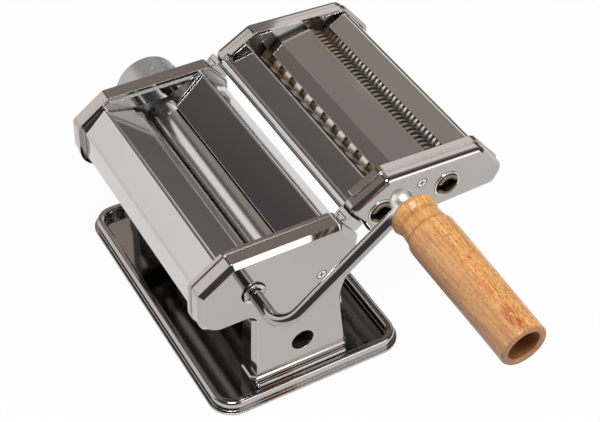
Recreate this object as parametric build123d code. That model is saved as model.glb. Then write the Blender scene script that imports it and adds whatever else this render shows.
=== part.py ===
from build123d import *
import math
import os

# Manual pasta roller machine with a clip-on cutter attachment. Millimetres, +Z up.
# The origin is the centre of the base's underside. +Y runs along the rollers towards the dial,
# -Y towards the crank, and +X towards the cutter attachment.

# Body
BODY_LENGTH = 150.0  # clear length between the two end caps
CAP_DEPTH = 13.0
PANEL_SHEET = 1.2
COVER_SHEET = 0.8
PLATE = 2.0
CAP_FRONT = 34.0  # fixed roller's axis to the cap's front
CAP_RISE = 26.0  # roller axes to the cap's top
CAP_FALL = 22.5  # roller axes to the cap's underside
BEVEL_X = 21.0
BEVEL_Z = 15.5
SLOPE_BEHIND = 31.5  # adjustable roller's axis to the top of the sloping wall
SLOPE_LENGTH = 18.4
SLOPE_ANGLE = 49.4
SHOULDER_DROP = 14.0
CAP_TOP_R = 4.5
CAP_CORNER_R = 15.0
SHOULDER_R = 6.0
SHOULDER_LOW_R = 8.0
CAP_CHAMFER = 2.8
RIM_BAND = 2.5
RIM_PROUD = 0.8
PLATE_GAP = 0.3
PLATE_FALL = 20.0  # roller axes to the inner plate's lower edge
OVERCUT = 1.0  # how far a cut runs past a face

# Leg of each side panel
LEG_IN = 0.5  # fixed roller's axis to the leg's front edge
LEG_WIDTH = 65.5
LEG_FILLET_R = 5.0
WAIST_IN = 6.0
WAIST_DROP = 7.5
WAIST_R = 30.0
FLARE_R = 20.0
FOOT_FLARE_Z = 20.0
FOOT_BAND_HEIGHT = 13.0
FOOT_PROUD = 1.0
FOOT_BEVEL_SHARE = 0.9
CLAMP_HOLE_R = 7.5
CLAMP_HOLE_IN = 33.5  # leg's front edge to the hole's axis
CLAMP_HOLE_Z = 32.0

# Base tray
BASE_X = 131.0
BASE_MARGIN = 9.0  # foot to the base's end
BASE_CORNER_R = 16.0
BASE_SHEET = 1.5
BASE_LIP = 2.0
RIDGE_WIDTH = 5.5
RIDGE_HEIGHT = 8.0
RIDGE_FILLET = 2.2

# Smooth rollers, the left one fixed and the right one adjustable
ROLLER_R = 12.5
ROLLER_END_GAP = 2.8  # roller end to inner plate
FIXED_X = -39.0
ROLLER_Z = 90.0
SHEET_MIN = 0.5  # thinnest dough sheet
SHEET_MAX = 3.0  # thickest dough sheet
JOURNAL_R = 5.0
RUN = 0.05  # radial clearance of a running fit
SEAT = 0.02  # radial clearance of a seated fit
BUSH_R = 7.5
BUSH_FLANGE_R = 9.5
BUSH_FLANGE = 1.5
ROLLER_TEETH = 15
ROLLER_ADDENDUM = 1.8
ROLLER_DEDENDUM = 2.15
ROLLER_BACKLASH = 0.6
GEAR_WIDTH = 6.0
GEAR_GAP = 0.7  # bush flange to gear
PRESSURE_ANGLE = 25.0

# Crank socket at a driving roller's near end
SOCKET_R = 7.0
SOCKET_BORE_R = 4.8
SOCKET_DEPTH = 12.0
SOCKET_PROUD = 1.6
SOCKET_HOLE_GAP = 0.7
SLOT_WIDTH = 4.4
SLOT_DEPTH = 6.0

# Carriage of the adjustable roller
BLOCK_HALF_X = 11.0
BLOCK_HALF_Z = 10.0
BLOCK_GAP = 0.15
LUG_HALF_X = 9.0
LUG_THICK = 2.2
LUG_GAP = 0.3
LUG_LAP = 1.0  # how far a lug reaches below the scraper bar
SCRAPER_BAR_X = 6.0
SCRAPER_BAR_Z = 4.0
SCRAPER_DROP = 2.0  # roller's underside to the scraper bar
SCRAPER_GAP = 0.35
SCRAPER_EDGE_ANGLE = 70.0
SCRAPER_BLADE = 0.9
SCRAPER_SCREW_R = 1.5

# Regulator on the far side
DIAL_SWEEP = 150.0
CAM_R = 6.0
CAM_GAP = 0.32
CAM_WIDTH = 4.4
YOKE_FLOOR_GAP = 0.4
SHAFT_R = 4.0
KNOB_R = 21.5
KNOB_GAP = 3.0
KNOB_DEPTH = 19.0
KNOB_WALL = 2.5
KNOB_HUB_R = 8.0
KNOB_FILLET = 2.0
KNOB_WEB = 3.0
STOP_PIN_R = 1.8
STOP_PIN_RING_R = 12.5
STOP_SLOT_GAP = 0.4
REG_BUSH_R = 6.5
REG_BUSH_FLANGE_R = 8.5
WASHER_THICK = 0.7

# Tie rods, each from a roller's axis, and screws
TIE_R = 2.5
RIVET_RATIO = 1.3  # rivet head to rod
REAR_TIE_AT = (19.0, -7.0)
FRONT_TIE_AT = (-22.0, -6.0)
TOP_TIE_AT = (23.5, 13.0)
SCREW_HEAD_R = 3.4
SCREW_SHANK_R = 1.5
SCREW_LENGTH = 9.0
RECESS_RATIO = 0.6  # recess arm to screw head
RECESS_WIDTH = 0.8
RECESS_DEPTH = 0.7
FOOT_SCREW_R = 2.0
FOOT_SCREW_HEAD_R = 3.6
FOOT_SCREW_HEAD = 2.0
FOOT_SCREW_IN = 14.0  # leg's edges to the screws

# Crank and handle
ROD_R = 4.0
CRANK_REACH = 32.0  # panel face to the crank arm's axis
CRANK_ARM = 96.5
CRANK_ANGLE = 39.6  # arm above horizontal in the rest pose
SPLAY_ANGLE = 3.0  # handle axis below the line parallel to the socket
FIRST_BEND_R = 14.0
ELBOW_SPARE = 0.4  # elbow's inside radius
KNUCKLE_RATIO = 1.8  # rounded elbow to rod
WING_UNDER = 0.4  # socket's outside to a wing's tip
WING_THICK = 3.6
WING_LENGTH = 5.0
WING_INSET = 0.2  # behind the socket's mouth
HANDLE_GAP = 0.3  # elbow's end to the handle
HANDLE_LENGTH = 102.8
HANDLE_HEAD_R = 13.7
HANDLE_NECK_R = 12.0
HANDLE_NECK_END_R = 12.7
HANDLE_SHOULDER_R = 14.1
HANDLE_HEAD_LENGTH = 9.4
HANDLE_NECK_LENGTH = 8.6
HANDLE_WIDEST_SHARE = 0.4  # of the head's length
HANDLE_SHOULDER_ROUND = 4.2
HANDLE_HEAD_ROUND = 2.6
HANDLE_END_ROUND = 1.6
HANDLE_END_R = 13.4
HANDLE_RUN = 0.08
HANDLE_POCKET_DEPTH = 34.0
HANDLE_WASHER_R = 8.2
HANDLE_WASHER = 1.2
WASHER_ROOM = 1.2  # washer to the pocket's wall
POCKET_MOUTH = 1.0
RIVET_R = 5.4
RIVET_HEAD = 2.2

# Directions of the handle's outline, outward and along
HEAD_START_WAY = (1.0, 0.6)
NECK_WAY = (-0.1, 1.0)
STEP_WAY = (1.0, 0.7)
BARREL_WAY = (0.0, 1.0)
TAIL_WAY = (0.0, 1.0)
END_WAY = (-0.8, 1.0)

# Dough guides
GUIDE_GAP = 1.7  # left roller to its guide's edge
GUIDE_LAP = 2.0  # how far the left guide reaches past the roller's axis
REAR_GUIDE_GAP = 1.9
REAR_GUIDE_LAP = 1.0
FRONT_RIDGE_AT = (17.0, -4.5)  # from the cap's front and top
FRONT_KNEE_AT = (2.5, -2.0)  # from the cap's front and the bevel's lower end
FRONT_WALL_RISE = 11.5
FRONT_RETURN_AT = (13.0, 2.0)  # from the cap's front and underside
REAR_RIDGE_AT = (-6.0, -1.7)  # from the top of the sloping wall
REAR_KNEE_AT = (-3.8, -1.0)  # from the shoulder
REAR_WALL_AT = (-6.5, 6.5)  # from the shoulder and the cap's underside
COVER_BEND_R = 3.0
GUIDE_END_CUT = 13.0  # how far the right guide's lower corners are cut back
CHEEK_THICK = 1.2
CHEEK_RISE = 0.4  # cheek's lower edge above the guide edges
CHEEK_LOW_IN = 1.5
CHEEK_TOP_FALL = 2.6
CHEEK_FRONT_IN = 4.0
CHEEK_REAR_IN = 6.5

# Cutter rails and hooks, on the sloping wall of the body caps
RAIL_START = 2.5
RAIL_LENGTH = 13.0
RAIL_INSET = 5.0  # cap's open side to the rail's middle
RAIL_STEM_WIDTH = 3.6
RAIL_STEM = 1.7
RAIL_HEAD_WIDTH = 6.6
RAIL_HEAD = 1.6
HOOK_GAP = 0.4
HOOK_WIDTH = 10.0

# Cutter attachment: rollers and gears
CUT_RING_R = 9.2
CUT_GROOVE_R = 7.2
CUT_NIP_GAP = 0.6  # ring to the mate's groove floor
CUT_END_GAP = 1.2
CUT_RING_PLAY = 0.6  # groove width less ring width
WIDE_PITCH = 13.0
FINE_PITCH = 4.0
CUT_JOURNAL_R = 4.0
CUT_BUSH_R = 5.5
CUT_BUSH_FLANGE = 0.8
CUT_BUSH_RIM = 1.2
SOCKET_BUSH_WALL = 2.0
BUSH_APART = 0.1  # between neighbouring bush flanges
CUT_TEETH = 14
CUT_ADDENDUM = 1.2
CUT_DEDENDUM = 1.5
CUT_BACKLASH = 0.4
CUT_GEAR_WIDTH = 5.0
CUT_GEAR_GAP = 0.4
COMB_UNDER = 2.8  # ring to the comb's bar
COMB_BAR = 3.0
COMB_TOOTH = 2.4
COMB_GAP = 0.4

# Cutter attachment: caps and covers
CUT_CAP_DEPTH = 10.0
CUT_PLATE = 1.5
CUT_LEFT_GAP = 6.5  # between the two sloping walls
CUT_LEFT_RISE = 3.0  # left corner above the body's top
CUT_LEFT_LENGTH = 17.0
CUT_WALL_GAP = 0.54  # sloping wall to the first socket bush
WIDE_DROP = 6.4  # left corner to the wide pair's axes
FINE_BEHIND = 28.0  # wide driven axis to fine driving axis
FINE_RISE = 2.8
CUT_BEVEL_AT = (3.8, 21.4)  # from the wide driving axis
CUT_BOTTOM_LEFT_AT = (-4.8, -16.6)
CUT_TOP_RIGHT_AT = (7.8, 16.1)  # from the fine driven axis
CUT_NOSE_AT = (25.1, -3.9)
CUT_BOTTOM_RIGHT_AT = (19.8, -15.8)
CUT_LEFT_R = 4.0
CUT_BEVEL_R = 5.0
CUT_TOP_RIGHT_R = 8.0
CUT_NOSE_R = 6.0
CUT_BOTTOM_RIGHT_R = 7.0
CUT_BOTTOM_LEFT_R = 4.0
CUT_EDGE_R = 4.4
CUT_RIM_PROUD = 1.2
CUT_RIM_BAND = 1.4
CUT_RIM_LIP = 3.6  # how far the rim laps over the covers
CUT_RIM_FALL = 22.0  # fine pair's axes to the rim's lower end
MIDDLE_TIE_AT = (9.8, 0.2)  # from the wide driven axis and the slot's edge
RIGHT_TIE_AT = (13.8, -8.2)  # from the fine driven axis
CUT_HEM_AT = (11.2, -0.6)  # from the top of the body's sloping wall
CUT_HEM_R = 4.4
LEFT_COVER_R = 1.5
RIGHT_LOW_R = 2.0
RIGHT_KNEE_R = 5.0
CUT_SLOT_RISE = 1.4  # ring tops to the edges of the covers' slots
LEFT_RIDGE_AT = (-1.6, 2.2)  # from an axis and the slot's edge
LEFT_EDGE_X = 1.7
CENTRE_LEFT_X = -7.4
CENTRE_RIDGE_AT = (1.7, 3.4)
CENTRE_RIGHT_AT = (-4.6, 2.2)
RIGHT_LEFT_X = -7.5
RIGHT_KNEE_AT = (8.0, 4.2)
RIGHT_WALL_AT = (20.8, -6.4)  # from the fine driven axis
RIGHT_LOW_AT = (19.3, -11.4)


def beside(place, step):
    """A place in the XZ plane, a step away from another."""
    return place[0] + step[0], place[1] + step[1]


def over_slot(axis, x, rise):
    """A place on a cover, from a cutting roller's axis and from the level of the slots' edges."""
    return axis[0] + x, axis[1] + CUT_RING_R + CUT_SLOT_RISE + rise


# Places of the body that follow from the sizes above
RIM_Y = BODY_LENGTH / 2
FACE_Y = RIM_Y + CAP_DEPTH
PLATE_OUT = RIM_Y + PLATE
GEAR_Y = PLATE_OUT + BUSH_FLANGE + GEAR_GAP
FOOT_Z = BASE_SHEET
BASE_Y = 2 * (FACE_Y + FOOT_PROUD + BASE_MARGIN)
ROLLER_END = RIM_Y - ROLLER_END_GAP
ROLLER_TOP = ROLLER_Z + ROLLER_R
ADJ_X = FIXED_X + 2 * ROLLER_R + SHEET_MIN
CARRIAGE_TRAVEL = SHEET_MAX - SHEET_MIN
HALF_SWEEP = math.radians(DIAL_SWEEP / 2)
ECCENTRICITY = CARRIAGE_TRAVEL / (2 * math.sin(HALF_SWEEP))
DIAL_X = ADJ_X + CARRIAGE_TRAVEL / 2
SCRAPER_TOP = ROLLER_Z - ROLLER_R - SCRAPER_DROP
LUG_BOTTOM = SCRAPER_TOP - SCRAPER_BAR_Z - LUG_LAP
SCREW_HEAD = PANEL_SHEET  # countersunk to the depth of the sheet
CAP_LEFT = FIXED_X - CAP_FRONT
CAP_TOP = ROLLER_Z + CAP_RISE
CAP_BOTTOM = ROLLER_Z - CAP_FALL
PLATE_BOTTOM = ROLLER_Z - PLATE_FALL
BEVEL_TOP_X = CAP_LEFT + BEVEL_X
BEVEL_LOW_Z = CAP_TOP - BEVEL_Z
SLOPE_TOP_X = ADJ_X + SLOPE_BEHIND
SLOPE_COS = math.cos(math.radians(SLOPE_ANGLE))
SLOPE_SIN = math.sin(math.radians(SLOPE_ANGLE))
SHOULDER = (SLOPE_TOP_X + SLOPE_LENGTH * SLOPE_COS, CAP_TOP - SLOPE_LENGTH * SLOPE_SIN)
LEG_LEFT = FIXED_X + LEG_IN
LEG_RIGHT = LEG_LEFT + LEG_WIDTH
WAIST_X = LEG_RIGHT - WAIST_IN
WAIST_Z = CAP_BOTTOM - WAIST_DROP
CLAMP_HOLE_X = LEG_LEFT + CLAMP_HOLE_IN
FOOT_SCREW_X = (LEG_LEFT + FOOT_SCREW_IN, LEG_RIGHT - FOOT_SCREW_IN)
REAR_TIE = beside((ADJ_X, ROLLER_Z), REAR_TIE_AT)
FRONT_TIE = beside((FIXED_X, ROLLER_Z), FRONT_TIE_AT)
TOP_TIE = beside((ADJ_X, ROLLER_Z), TOP_TIE_AT)
HANDLE_BORE_R = ROD_R + HANDLE_RUN
HANDLE_POCKET_R = HANDLE_WASHER_R + WASHER_ROOM
SECOND_BEND_R = ROD_R + ELBOW_SPARE
KNUCKLE_R = ROD_R * KNUCKLE_RATIO
HANDLE_START = SECOND_BEND_R + HANDLE_GAP
LEFT_GUIDE_EDGE = (FIXED_X + GUIDE_LAP, ROLLER_TOP + GUIDE_GAP)
FRONT_RIDGE = beside((CAP_LEFT, CAP_TOP), FRONT_RIDGE_AT)
FRONT_KNEE = beside((CAP_LEFT, BEVEL_LOW_Z), FRONT_KNEE_AT)
FRONT_WALL_LOW = CAP_BOTTOM + FRONT_WALL_RISE
FRONT_RETURN = beside((CAP_LEFT, CAP_BOTTOM), FRONT_RETURN_AT)
RIGHT_GUIDE_EDGE = (ADJ_X + REAR_GUIDE_LAP, ROLLER_TOP + REAR_GUIDE_GAP)
REAR_RIDGE = beside((SLOPE_TOP_X, CAP_TOP), REAR_RIDGE_AT)
REAR_KNEE = beside(SHOULDER, REAR_KNEE_AT)
REAR_WALL_LOW = beside((SHOULDER[0], CAP_BOTTOM), REAR_WALL_AT)
RAIL_CENTRE_Y = RIM_Y + RAIL_INSET

# Places of the cutter
PAIR_SPACING = CUT_RING_R + CUT_GROOVE_R + CUT_NIP_GAP
CUT_SOCKET_BUSH_R = SOCKET_R + SOCKET_BUSH_WALL
SOCKET_FLANGE_R = PAIR_SPACING - CUT_BUSH_R - CUT_BUSH_RIM - BUSH_APART
COMB_DROP = CUT_RING_R + COMB_UNDER + COMB_BAR
CUT_FACE_Y = RIM_Y + CUT_CAP_DEPTH
CUT_PLATE_OUT = RIM_Y + CUT_PLATE
CUT_GEAR_Y = CUT_PLATE_OUT + CUT_BUSH_FLANGE + CUT_GEAR_GAP
CUT_LEFT_Z = CAP_TOP + CUT_LEFT_RISE
CUT_LEFT_X = SLOPE_TOP_X + (CUT_LEFT_GAP - CUT_LEFT_RISE * SLOPE_COS) / SLOPE_SIN
WIDE_WALL_X = CUT_LEFT_X + WIDE_DROP * SLOPE_COS / SLOPE_SIN
WIDE_INSET = (PANEL_SHEET + SOCKET_FLANGE_R + CUT_WALL_GAP) / SLOPE_SIN
WIDE_DRIVE = (WIDE_WALL_X + WIDE_INSET, CUT_LEFT_Z - WIDE_DROP)
WIDE_DRIVEN = beside(WIDE_DRIVE, (PAIR_SPACING, 0))
FINE_DRIVE = beside(WIDE_DRIVEN, (FINE_BEHIND, FINE_RISE))
FINE_DRIVEN = beside(FINE_DRIVE, (PAIR_SPACING, 0))
CUT_BEVEL = beside(WIDE_DRIVE, CUT_BEVEL_AT)
CUT_BOTTOM_LEFT = beside(WIDE_DRIVE, CUT_BOTTOM_LEFT_AT)
CUT_TOP_RIGHT = beside(FINE_DRIVEN, CUT_TOP_RIGHT_AT)
CUT_NOSE = beside(FINE_DRIVEN, CUT_NOSE_AT)
CUT_BOTTOM_RIGHT = beside(FINE_DRIVEN, CUT_BOTTOM_RIGHT_AT)
CUT_RIM_LOW = FINE_DRIVEN[1] - CUT_RIM_FALL
CUT_TIES = (over_slot(WIDE_DRIVEN, *MIDDLE_TIE_AT), beside(FINE_DRIVEN, RIGHT_TIE_AT))
CUT_HEM = beside((SLOPE_TOP_X, CAP_TOP), CUT_HEM_AT)


def xz_face(points, radii):
    """A face in the XZ plane from corner points, each corner rounded by its radius."""
    return Plane.XZ * make_face(FilletPolyline(*points, radius=radii, close=True))


def slab(face, y0, y1):
    """A face of the XZ plane carried from y0 to y1."""
    return Pos(0, y0, 0) * extrude(face, amount=y1 - y0, dir=(0, 1, 0))


def block(x0, x1, y0, y1, z0, z1):
    """A box between two corners."""
    centre = Pos((x0 + x1) / 2, (y0 + y1) / 2, (z0 + z1) / 2)
    return centre * Box(x1 - x0, y1 - y0, z1 - z0)


def rod(x, z, radius, y0, y1):
    """A round bar along Y."""
    return Pos(x, (y0 + y1) / 2, z) * Rot(90, 0, 0) * Cylinder(radius, y1 - y0)


def ring(x, z, outer, inner, y0, y1):
    """A sleeve along Y."""
    return rod(x, z, outer, y0, y1) - rod(x, z, inner, y0, y1)


def far_side(part):
    """The same piece on the dial's side."""
    return mirror(part, about=Plane.XZ)


def bent_sheet(points, radius, thickness, y0, y1):
    """A sheet folded along the corner points of its section, thickened to its left."""
    path = FilletPolyline(*points, radius=radius)
    return slab(Plane.XZ * make_face(offset(path, thickness, side=Side.LEFT)), y0, y1)


def gear(teeth, spacing, addendum, dedendum, backlash, bore, y0, y1, turn):
    """An involute spur gear along Y about the origin, for a mate of the same size at that spacing."""
    pitch_r = spacing / 2
    pressure = math.radians(PRESSURE_ANGLE)
    base_r = pitch_r * math.cos(pressure)
    outer_r = pitch_r + addendum
    root_r = pitch_r - dedendum
    half_tooth = math.pi / (2 * teeth) - backlash / (4 * pitch_r)
    involute_at_pitch = math.tan(pressure) - pressure

    def half_angle(radius):
        roll = math.acos(base_r / max(radius, base_r))
        return half_tooth + involute_at_pitch - (math.tan(roll) - roll)

    flank_steps = 4
    flank_start = max(base_r, root_r)
    radii = [root_r] if root_r < base_r else []
    radii += [flank_start + (outer_r - flank_start) * i / flank_steps for i in range(flank_steps + 1)]
    points = []
    for tooth in range(teeth):
        middle = 2 * math.pi * tooth / teeth + math.radians(turn)
        flank = [(radius, half_angle(radius)) for radius in radii]
        for radius, half in flank:
            points.append((radius * math.cos(middle - half), radius * math.sin(middle - half)))
        for radius, half in reversed(flank):
            points.append((radius * math.cos(middle + half), radius * math.sin(middle + half)))
    face = Plane.XZ * make_face(Polyline(*points, close=True))
    return slab(face, y0, y1) - rod(0, 0, bore, y0, y1)


def cross_screw(x, z, face_y, length):
    """A countersunk cross-head screw whose head lies flush with a face at -Y."""
    head = Pos(x, face_y + SCREW_HEAD / 2, z) * Rot(-90, 0, 0)
    screw = head * Cone(SCREW_HEAD_R, SCREW_SHANK_R, SCREW_HEAD)
    screw += rod(x, z, SCREW_SHANK_R, face_y + SCREW_HEAD, face_y + length)
    arm = SCREW_HEAD_R * RECESS_RATIO
    recess_end = face_y + RECESS_DEPTH
    half = RECESS_WIDTH / 2
    screw -= block(x - arm, x + arm, face_y, recess_end, z - half, z + half)
    screw -= block(x - half, x + half, face_y, recess_end, z - arm, z + arm)
    return screw


def screw_hole(x, z, face_y, depth):
    """The countersunk hole for a cross-head screw."""
    seat = Pos(x, face_y + SCREW_HEAD / 2, z) * Rot(-90, 0, 0)
    hole = seat * Cone(SCREW_HEAD_R + SEAT, SCREW_SHANK_R + SEAT, SCREW_HEAD)
    return hole + rod(x, z, SCREW_SHANK_R + SEAT, face_y, face_y + depth)


def deep_edges(part, skip_below):
    front = part.faces().sort_by(Axis.Y)[0]
    return [edge for edge in front.edges() if edge.center().Z > skip_below]


def shell(face, inner_face, rim_y, depth, sheet):
    """A pressed cap and its hollow: the outline drawn out towards -Y, its back open."""
    return slab(face, rim_y - depth, rim_y), slab(inner_face, rim_y - depth + sheet, rim_y)


def bevelled(part, hollow, width, sheet, skip_below):
    """A cap whose face is bevelled, with a hollow that keeps the sheet's thickness there."""
    inside = width - sheet * (2 - math.sqrt(2))
    part = chamfer(deep_edges(part, skip_below), width)
    return part, chamfer(deep_edges(hollow, skip_below + 2 * sheet), inside)


def rounded(part, hollow, radius, sheet):
    """A cap whose face runs into its sides in a curve."""
    return fillet(deep_edges(part, 0), radius), fillet(deep_edges(hollow, 0), radius - sheet)


# Side panels: end cap and leg in one pressing


def panel_outline():
    shoulder_low = (SHOULDER[0], SHOULDER[1] - SHOULDER_DROP)
    points = [
        (CAP_LEFT, BEVEL_LOW_Z),
        (BEVEL_TOP_X, CAP_TOP),
        (SLOPE_TOP_X, CAP_TOP),
        SHOULDER,
        shoulder_low,
        (WAIST_X, WAIST_Z),
        (LEG_RIGHT, FOOT_FLARE_Z),
        (LEG_RIGHT, FOOT_Z),
        (LEG_LEFT, FOOT_Z),
        (LEG_LEFT, CAP_BOTTOM),
        (CAP_LEFT, CAP_BOTTOM),
    ]
    upper = [CAP_TOP_R, CAP_TOP_R, CAP_TOP_R, SHOULDER_R, SHOULDER_LOW_R]
    lower = [WAIST_R, FLARE_R, 0, 0, LEG_FILLET_R, CAP_CORNER_R]
    return xz_face(points, upper + lower)


def panel_blank():
    outline = panel_outline()
    inner = offset(outline, -PANEL_SHEET)
    foot_edge = FOOT_Z + FOOT_PROUD
    outer, cavity = shell(outline, inner, -RIM_Y, CAP_DEPTH, PANEL_SHEET)
    outer, cavity = bevelled(outer, cavity, CAP_CHAMFER, PANEL_SHEET, foot_edge)
    band = slab(offset(outline, RIM_PROUD), -RIM_Y - RIM_BAND, -RIM_Y)
    keep_right = SLOPE_TOP_X - CAP_CHAMFER
    band &= block(CAP_LEFT - CAP_DEPTH, keep_right, -FACE_Y, 0, CAP_BOTTOM - RIM_PROUD, CAP_TOP + CAP_DEPTH)
    foot = block(
        LEG_LEFT - FOOT_PROUD,
        LEG_RIGHT + FOOT_PROUD,
        -FACE_Y - FOOT_PROUD,
        -RIM_Y,
        FOOT_Z,
        FOOT_Z + FOOT_BAND_HEIGHT,
    )
    upright = foot.edges().filter_by(Axis.Z).sort_by(Axis.Y)[:2]
    foot = chamfer(upright, CAP_CHAMFER)
    top = foot.faces().sort_by(Axis.Z)[-1]
    foot = chamfer(top.edges().sort_by(Axis.Y)[:-1], FOOT_PROUD * FOOT_BEVEL_SHARE)
    blank = outer + band + foot - cavity
    blank -= rod(CLAMP_HOLE_X, CLAMP_HOLE_Z, CLAMP_HOLE_R, -FACE_Y - OVERCUT, -RIM_Y)
    blank -= screw_hole(*REAR_TIE, -FACE_Y, CAP_DEPTH)
    for x in FOOT_SCREW_X:
        blank -= Pos(x, -foot_screw_y(), FOOT_Z) * Cylinder(FOOT_SCREW_R + SEAT, 4 * PANEL_SHEET)
    return blank


def foot_screw_y():
    return (RIM_Y + FACE_Y) / 2


def near_side_panel(blank):
    return blank - rod(FIXED_X, ROLLER_Z, SOCKET_R + SOCKET_HOLE_GAP, -FACE_Y - OVERCUT, -RIM_Y)


def stop_slot(y0, y1):
    """The arc that the dial's stop pin runs in, about the dial's axis."""
    width = STOP_PIN_R + STOP_SLOT_GAP
    start = stop_pin_angle()
    centres = [start + i * DIAL_SWEEP / 2 for i in range(3)]
    points = [polar(STOP_PIN_RING_R, angle) for angle in centres]
    path = ThreePointArc(*points)
    face = Plane.XZ * Pos(DIAL_X, ROLLER_Z) * make_face(offset(path, width))
    return slab(face, y0, y1)


def polar(radius, degrees):
    angle = math.radians(degrees)
    return radius * math.cos(angle), radius * math.sin(angle)


def stop_pin_angle():
    """Where the stop pin stands at the thinnest setting, seen in the XZ plane from X towards Z."""
    return 270 - DIAL_SWEEP / 2


def far_side_panel(blank):
    panel = far_side(blank)
    panel -= rod(DIAL_X, ROLLER_Z, REG_BUSH_R + SEAT, RIM_Y, FACE_Y + OVERCUT)
    return panel - stop_slot(RIM_Y, FACE_Y + OVERCUT)


# Base tray


def rounded_plate(inset, z0, z1):
    corner = BASE_CORNER_R - inset
    sketch = RectangleRounded(BASE_X - 2 * inset, BASE_Y - 2 * inset, corner)
    return Pos(0, 0, z0) * extrude(sketch, amount=z1 - z0)


def base_tray():
    ridge_in = BASE_LIP + RIDGE_WIDTH
    ridge = rounded_plate(BASE_LIP, 0, RIDGE_HEIGHT) - rounded_plate(ridge_in, BASE_SHEET, RIDGE_HEIGHT)
    crown = ridge.faces().sort_by(Axis.Z)[-1]
    ridge = fillet(crown.edges(), RIDGE_FILLET)
    tray = ridge + rounded_plate(0, 0, BASE_SHEET)
    hollow = rounded_plate(BASE_LIP + BASE_SHEET, 0, RIDGE_HEIGHT - BASE_SHEET)
    hollow -= rounded_plate(ridge_in - BASE_SHEET, 0, RIDGE_HEIGHT)
    tray -= hollow
    for x in FOOT_SCREW_X:
        for y in (-foot_screw_y(), foot_screw_y()):
            tray -= Pos(x, y, 0) * Cylinder(FOOT_SCREW_R + SEAT, 4 * BASE_SHEET)
    return tray


def foot_screws():
    flange_top = FOOT_Z + PANEL_SHEET
    screws = []
    for x in FOOT_SCREW_X:
        for y in (-foot_screw_y(), foot_screw_y()):
            head = Pos(x, y, flange_top + FOOT_SCREW_HEAD / 2) * Cylinder(FOOT_SCREW_HEAD_R, FOOT_SCREW_HEAD)
            shank = Pos(x, y, flange_top / 2 + SEAT) * Cylinder(FOOT_SCREW_R, flange_top - 2 * SEAT)
            screws.append(head + shank)
    return screws


# Inner plates, bushes and tie rods


def plate_blank():
    outline = offset(panel_outline(), -PANEL_SHEET - PLATE_GAP)
    plate = slab(outline, -PLATE_OUT, -RIM_Y)
    width = SHOULDER[0] - CAP_LEFT
    plate &= block(CAP_LEFT, SHOULDER[0], -FACE_Y, 0, PLATE_BOTTOM, PLATE_BOTTOM + width)
    plate -= rod(FIXED_X, ROLLER_Z, BUSH_R + SEAT, -PLATE_OUT, -RIM_Y)
    plate -= block(
        ADJ_X - BLOCK_HALF_X - BLOCK_GAP,
        ADJ_X + BLOCK_HALF_X + BLOCK_GAP + CARRIAGE_TRAVEL,
        -PLATE_OUT,
        -RIM_Y,
        ROLLER_Z - BLOCK_HALF_Z - BLOCK_GAP,
        ROLLER_Z + BLOCK_HALF_Z + BLOCK_GAP,
    )
    for x, z in (REAR_TIE, FRONT_TIE, TOP_TIE):
        plate -= rod(x, z, TIE_R + SEAT, -PLATE_OUT, -RIM_Y)
    return plate


def roller_bush():
    bush = rod(FIXED_X, ROLLER_Z, BUSH_R, -PLATE_OUT, -RIM_Y)
    bush += rod(FIXED_X, ROLLER_Z, BUSH_FLANGE_R, -PLATE_OUT - BUSH_FLANGE, -PLATE_OUT)
    return bush - rod(FIXED_X, ROLLER_Z, JOURNAL_R + RUN, -PLATE_OUT - BUSH_FLANGE, -RIM_Y)


def rear_tie_rod():
    end = FACE_Y - PANEL_SHEET
    tie = rod(*REAR_TIE, TIE_R, -end, end)
    bore = rod(*REAR_TIE, SCREW_SHANK_R + SEAT, -end, -end + SCREW_LENGTH)
    return tie - bore - far_side(bore)


def riveted_tie_rod(place, plate_out):
    """A tie rod held by a rivet head outside each inner plate."""
    head = rod(*place, TIE_R * RIVET_RATIO, -plate_out - TIE_R / 2, -plate_out)
    return rod(*place, TIE_R, -plate_out, plate_out) + head + far_side(head)


def panel_screws():
    near = cross_screw(*REAR_TIE, -FACE_Y, SCREW_LENGTH)
    return [near, far_side(near)]


# Covers, guides and scrapers


def front_cover():
    points = [LEFT_GUIDE_EDGE, FRONT_RIDGE, FRONT_KNEE, (FRONT_KNEE[0], FRONT_WALL_LOW), FRONT_RETURN]
    return bent_sheet(points, COVER_BEND_R, COVER_SHEET, -RIM_Y, RIM_Y)


def rear_cover():
    points = [REAR_WALL_LOW, REAR_KNEE, REAR_RIDGE, RIGHT_GUIDE_EDGE]
    cover = bent_sheet(points, COVER_BEND_R, COVER_SHEET, -RIM_Y, RIM_Y)
    low_x = RIGHT_GUIDE_EDGE[0] - COVER_BEND_R
    guide_x = REAR_RIDGE[0] - 2 * COVER_BEND_R
    corner = Polyline((low_x, -RIM_Y), (guide_x, -RIM_Y), (low_x, -RIM_Y + GUIDE_END_CUT), close=True)
    cut = extrude(make_face(corner), amount=CAP_TOP)
    return cover - cut - far_side(cut)


def feed_cheek():
    low = LEFT_GUIDE_EDGE[1] + CHEEK_RISE
    top = CAP_TOP - CHEEK_TOP_FALL
    points = [
        (LEFT_GUIDE_EDGE[0] + CHEEK_LOW_IN, low),
        (RIGHT_GUIDE_EDGE[0] - CHEEK_LOW_IN, low),
        (REAR_RIDGE[0] - CHEEK_REAR_IN, top),
        (FRONT_RIDGE[0] + CHEEK_FRONT_IN, top),
    ]
    return slab(xz_face(points, [0] * len(points)), -RIM_Y, -RIM_Y + CHEEK_THICK)


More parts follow.
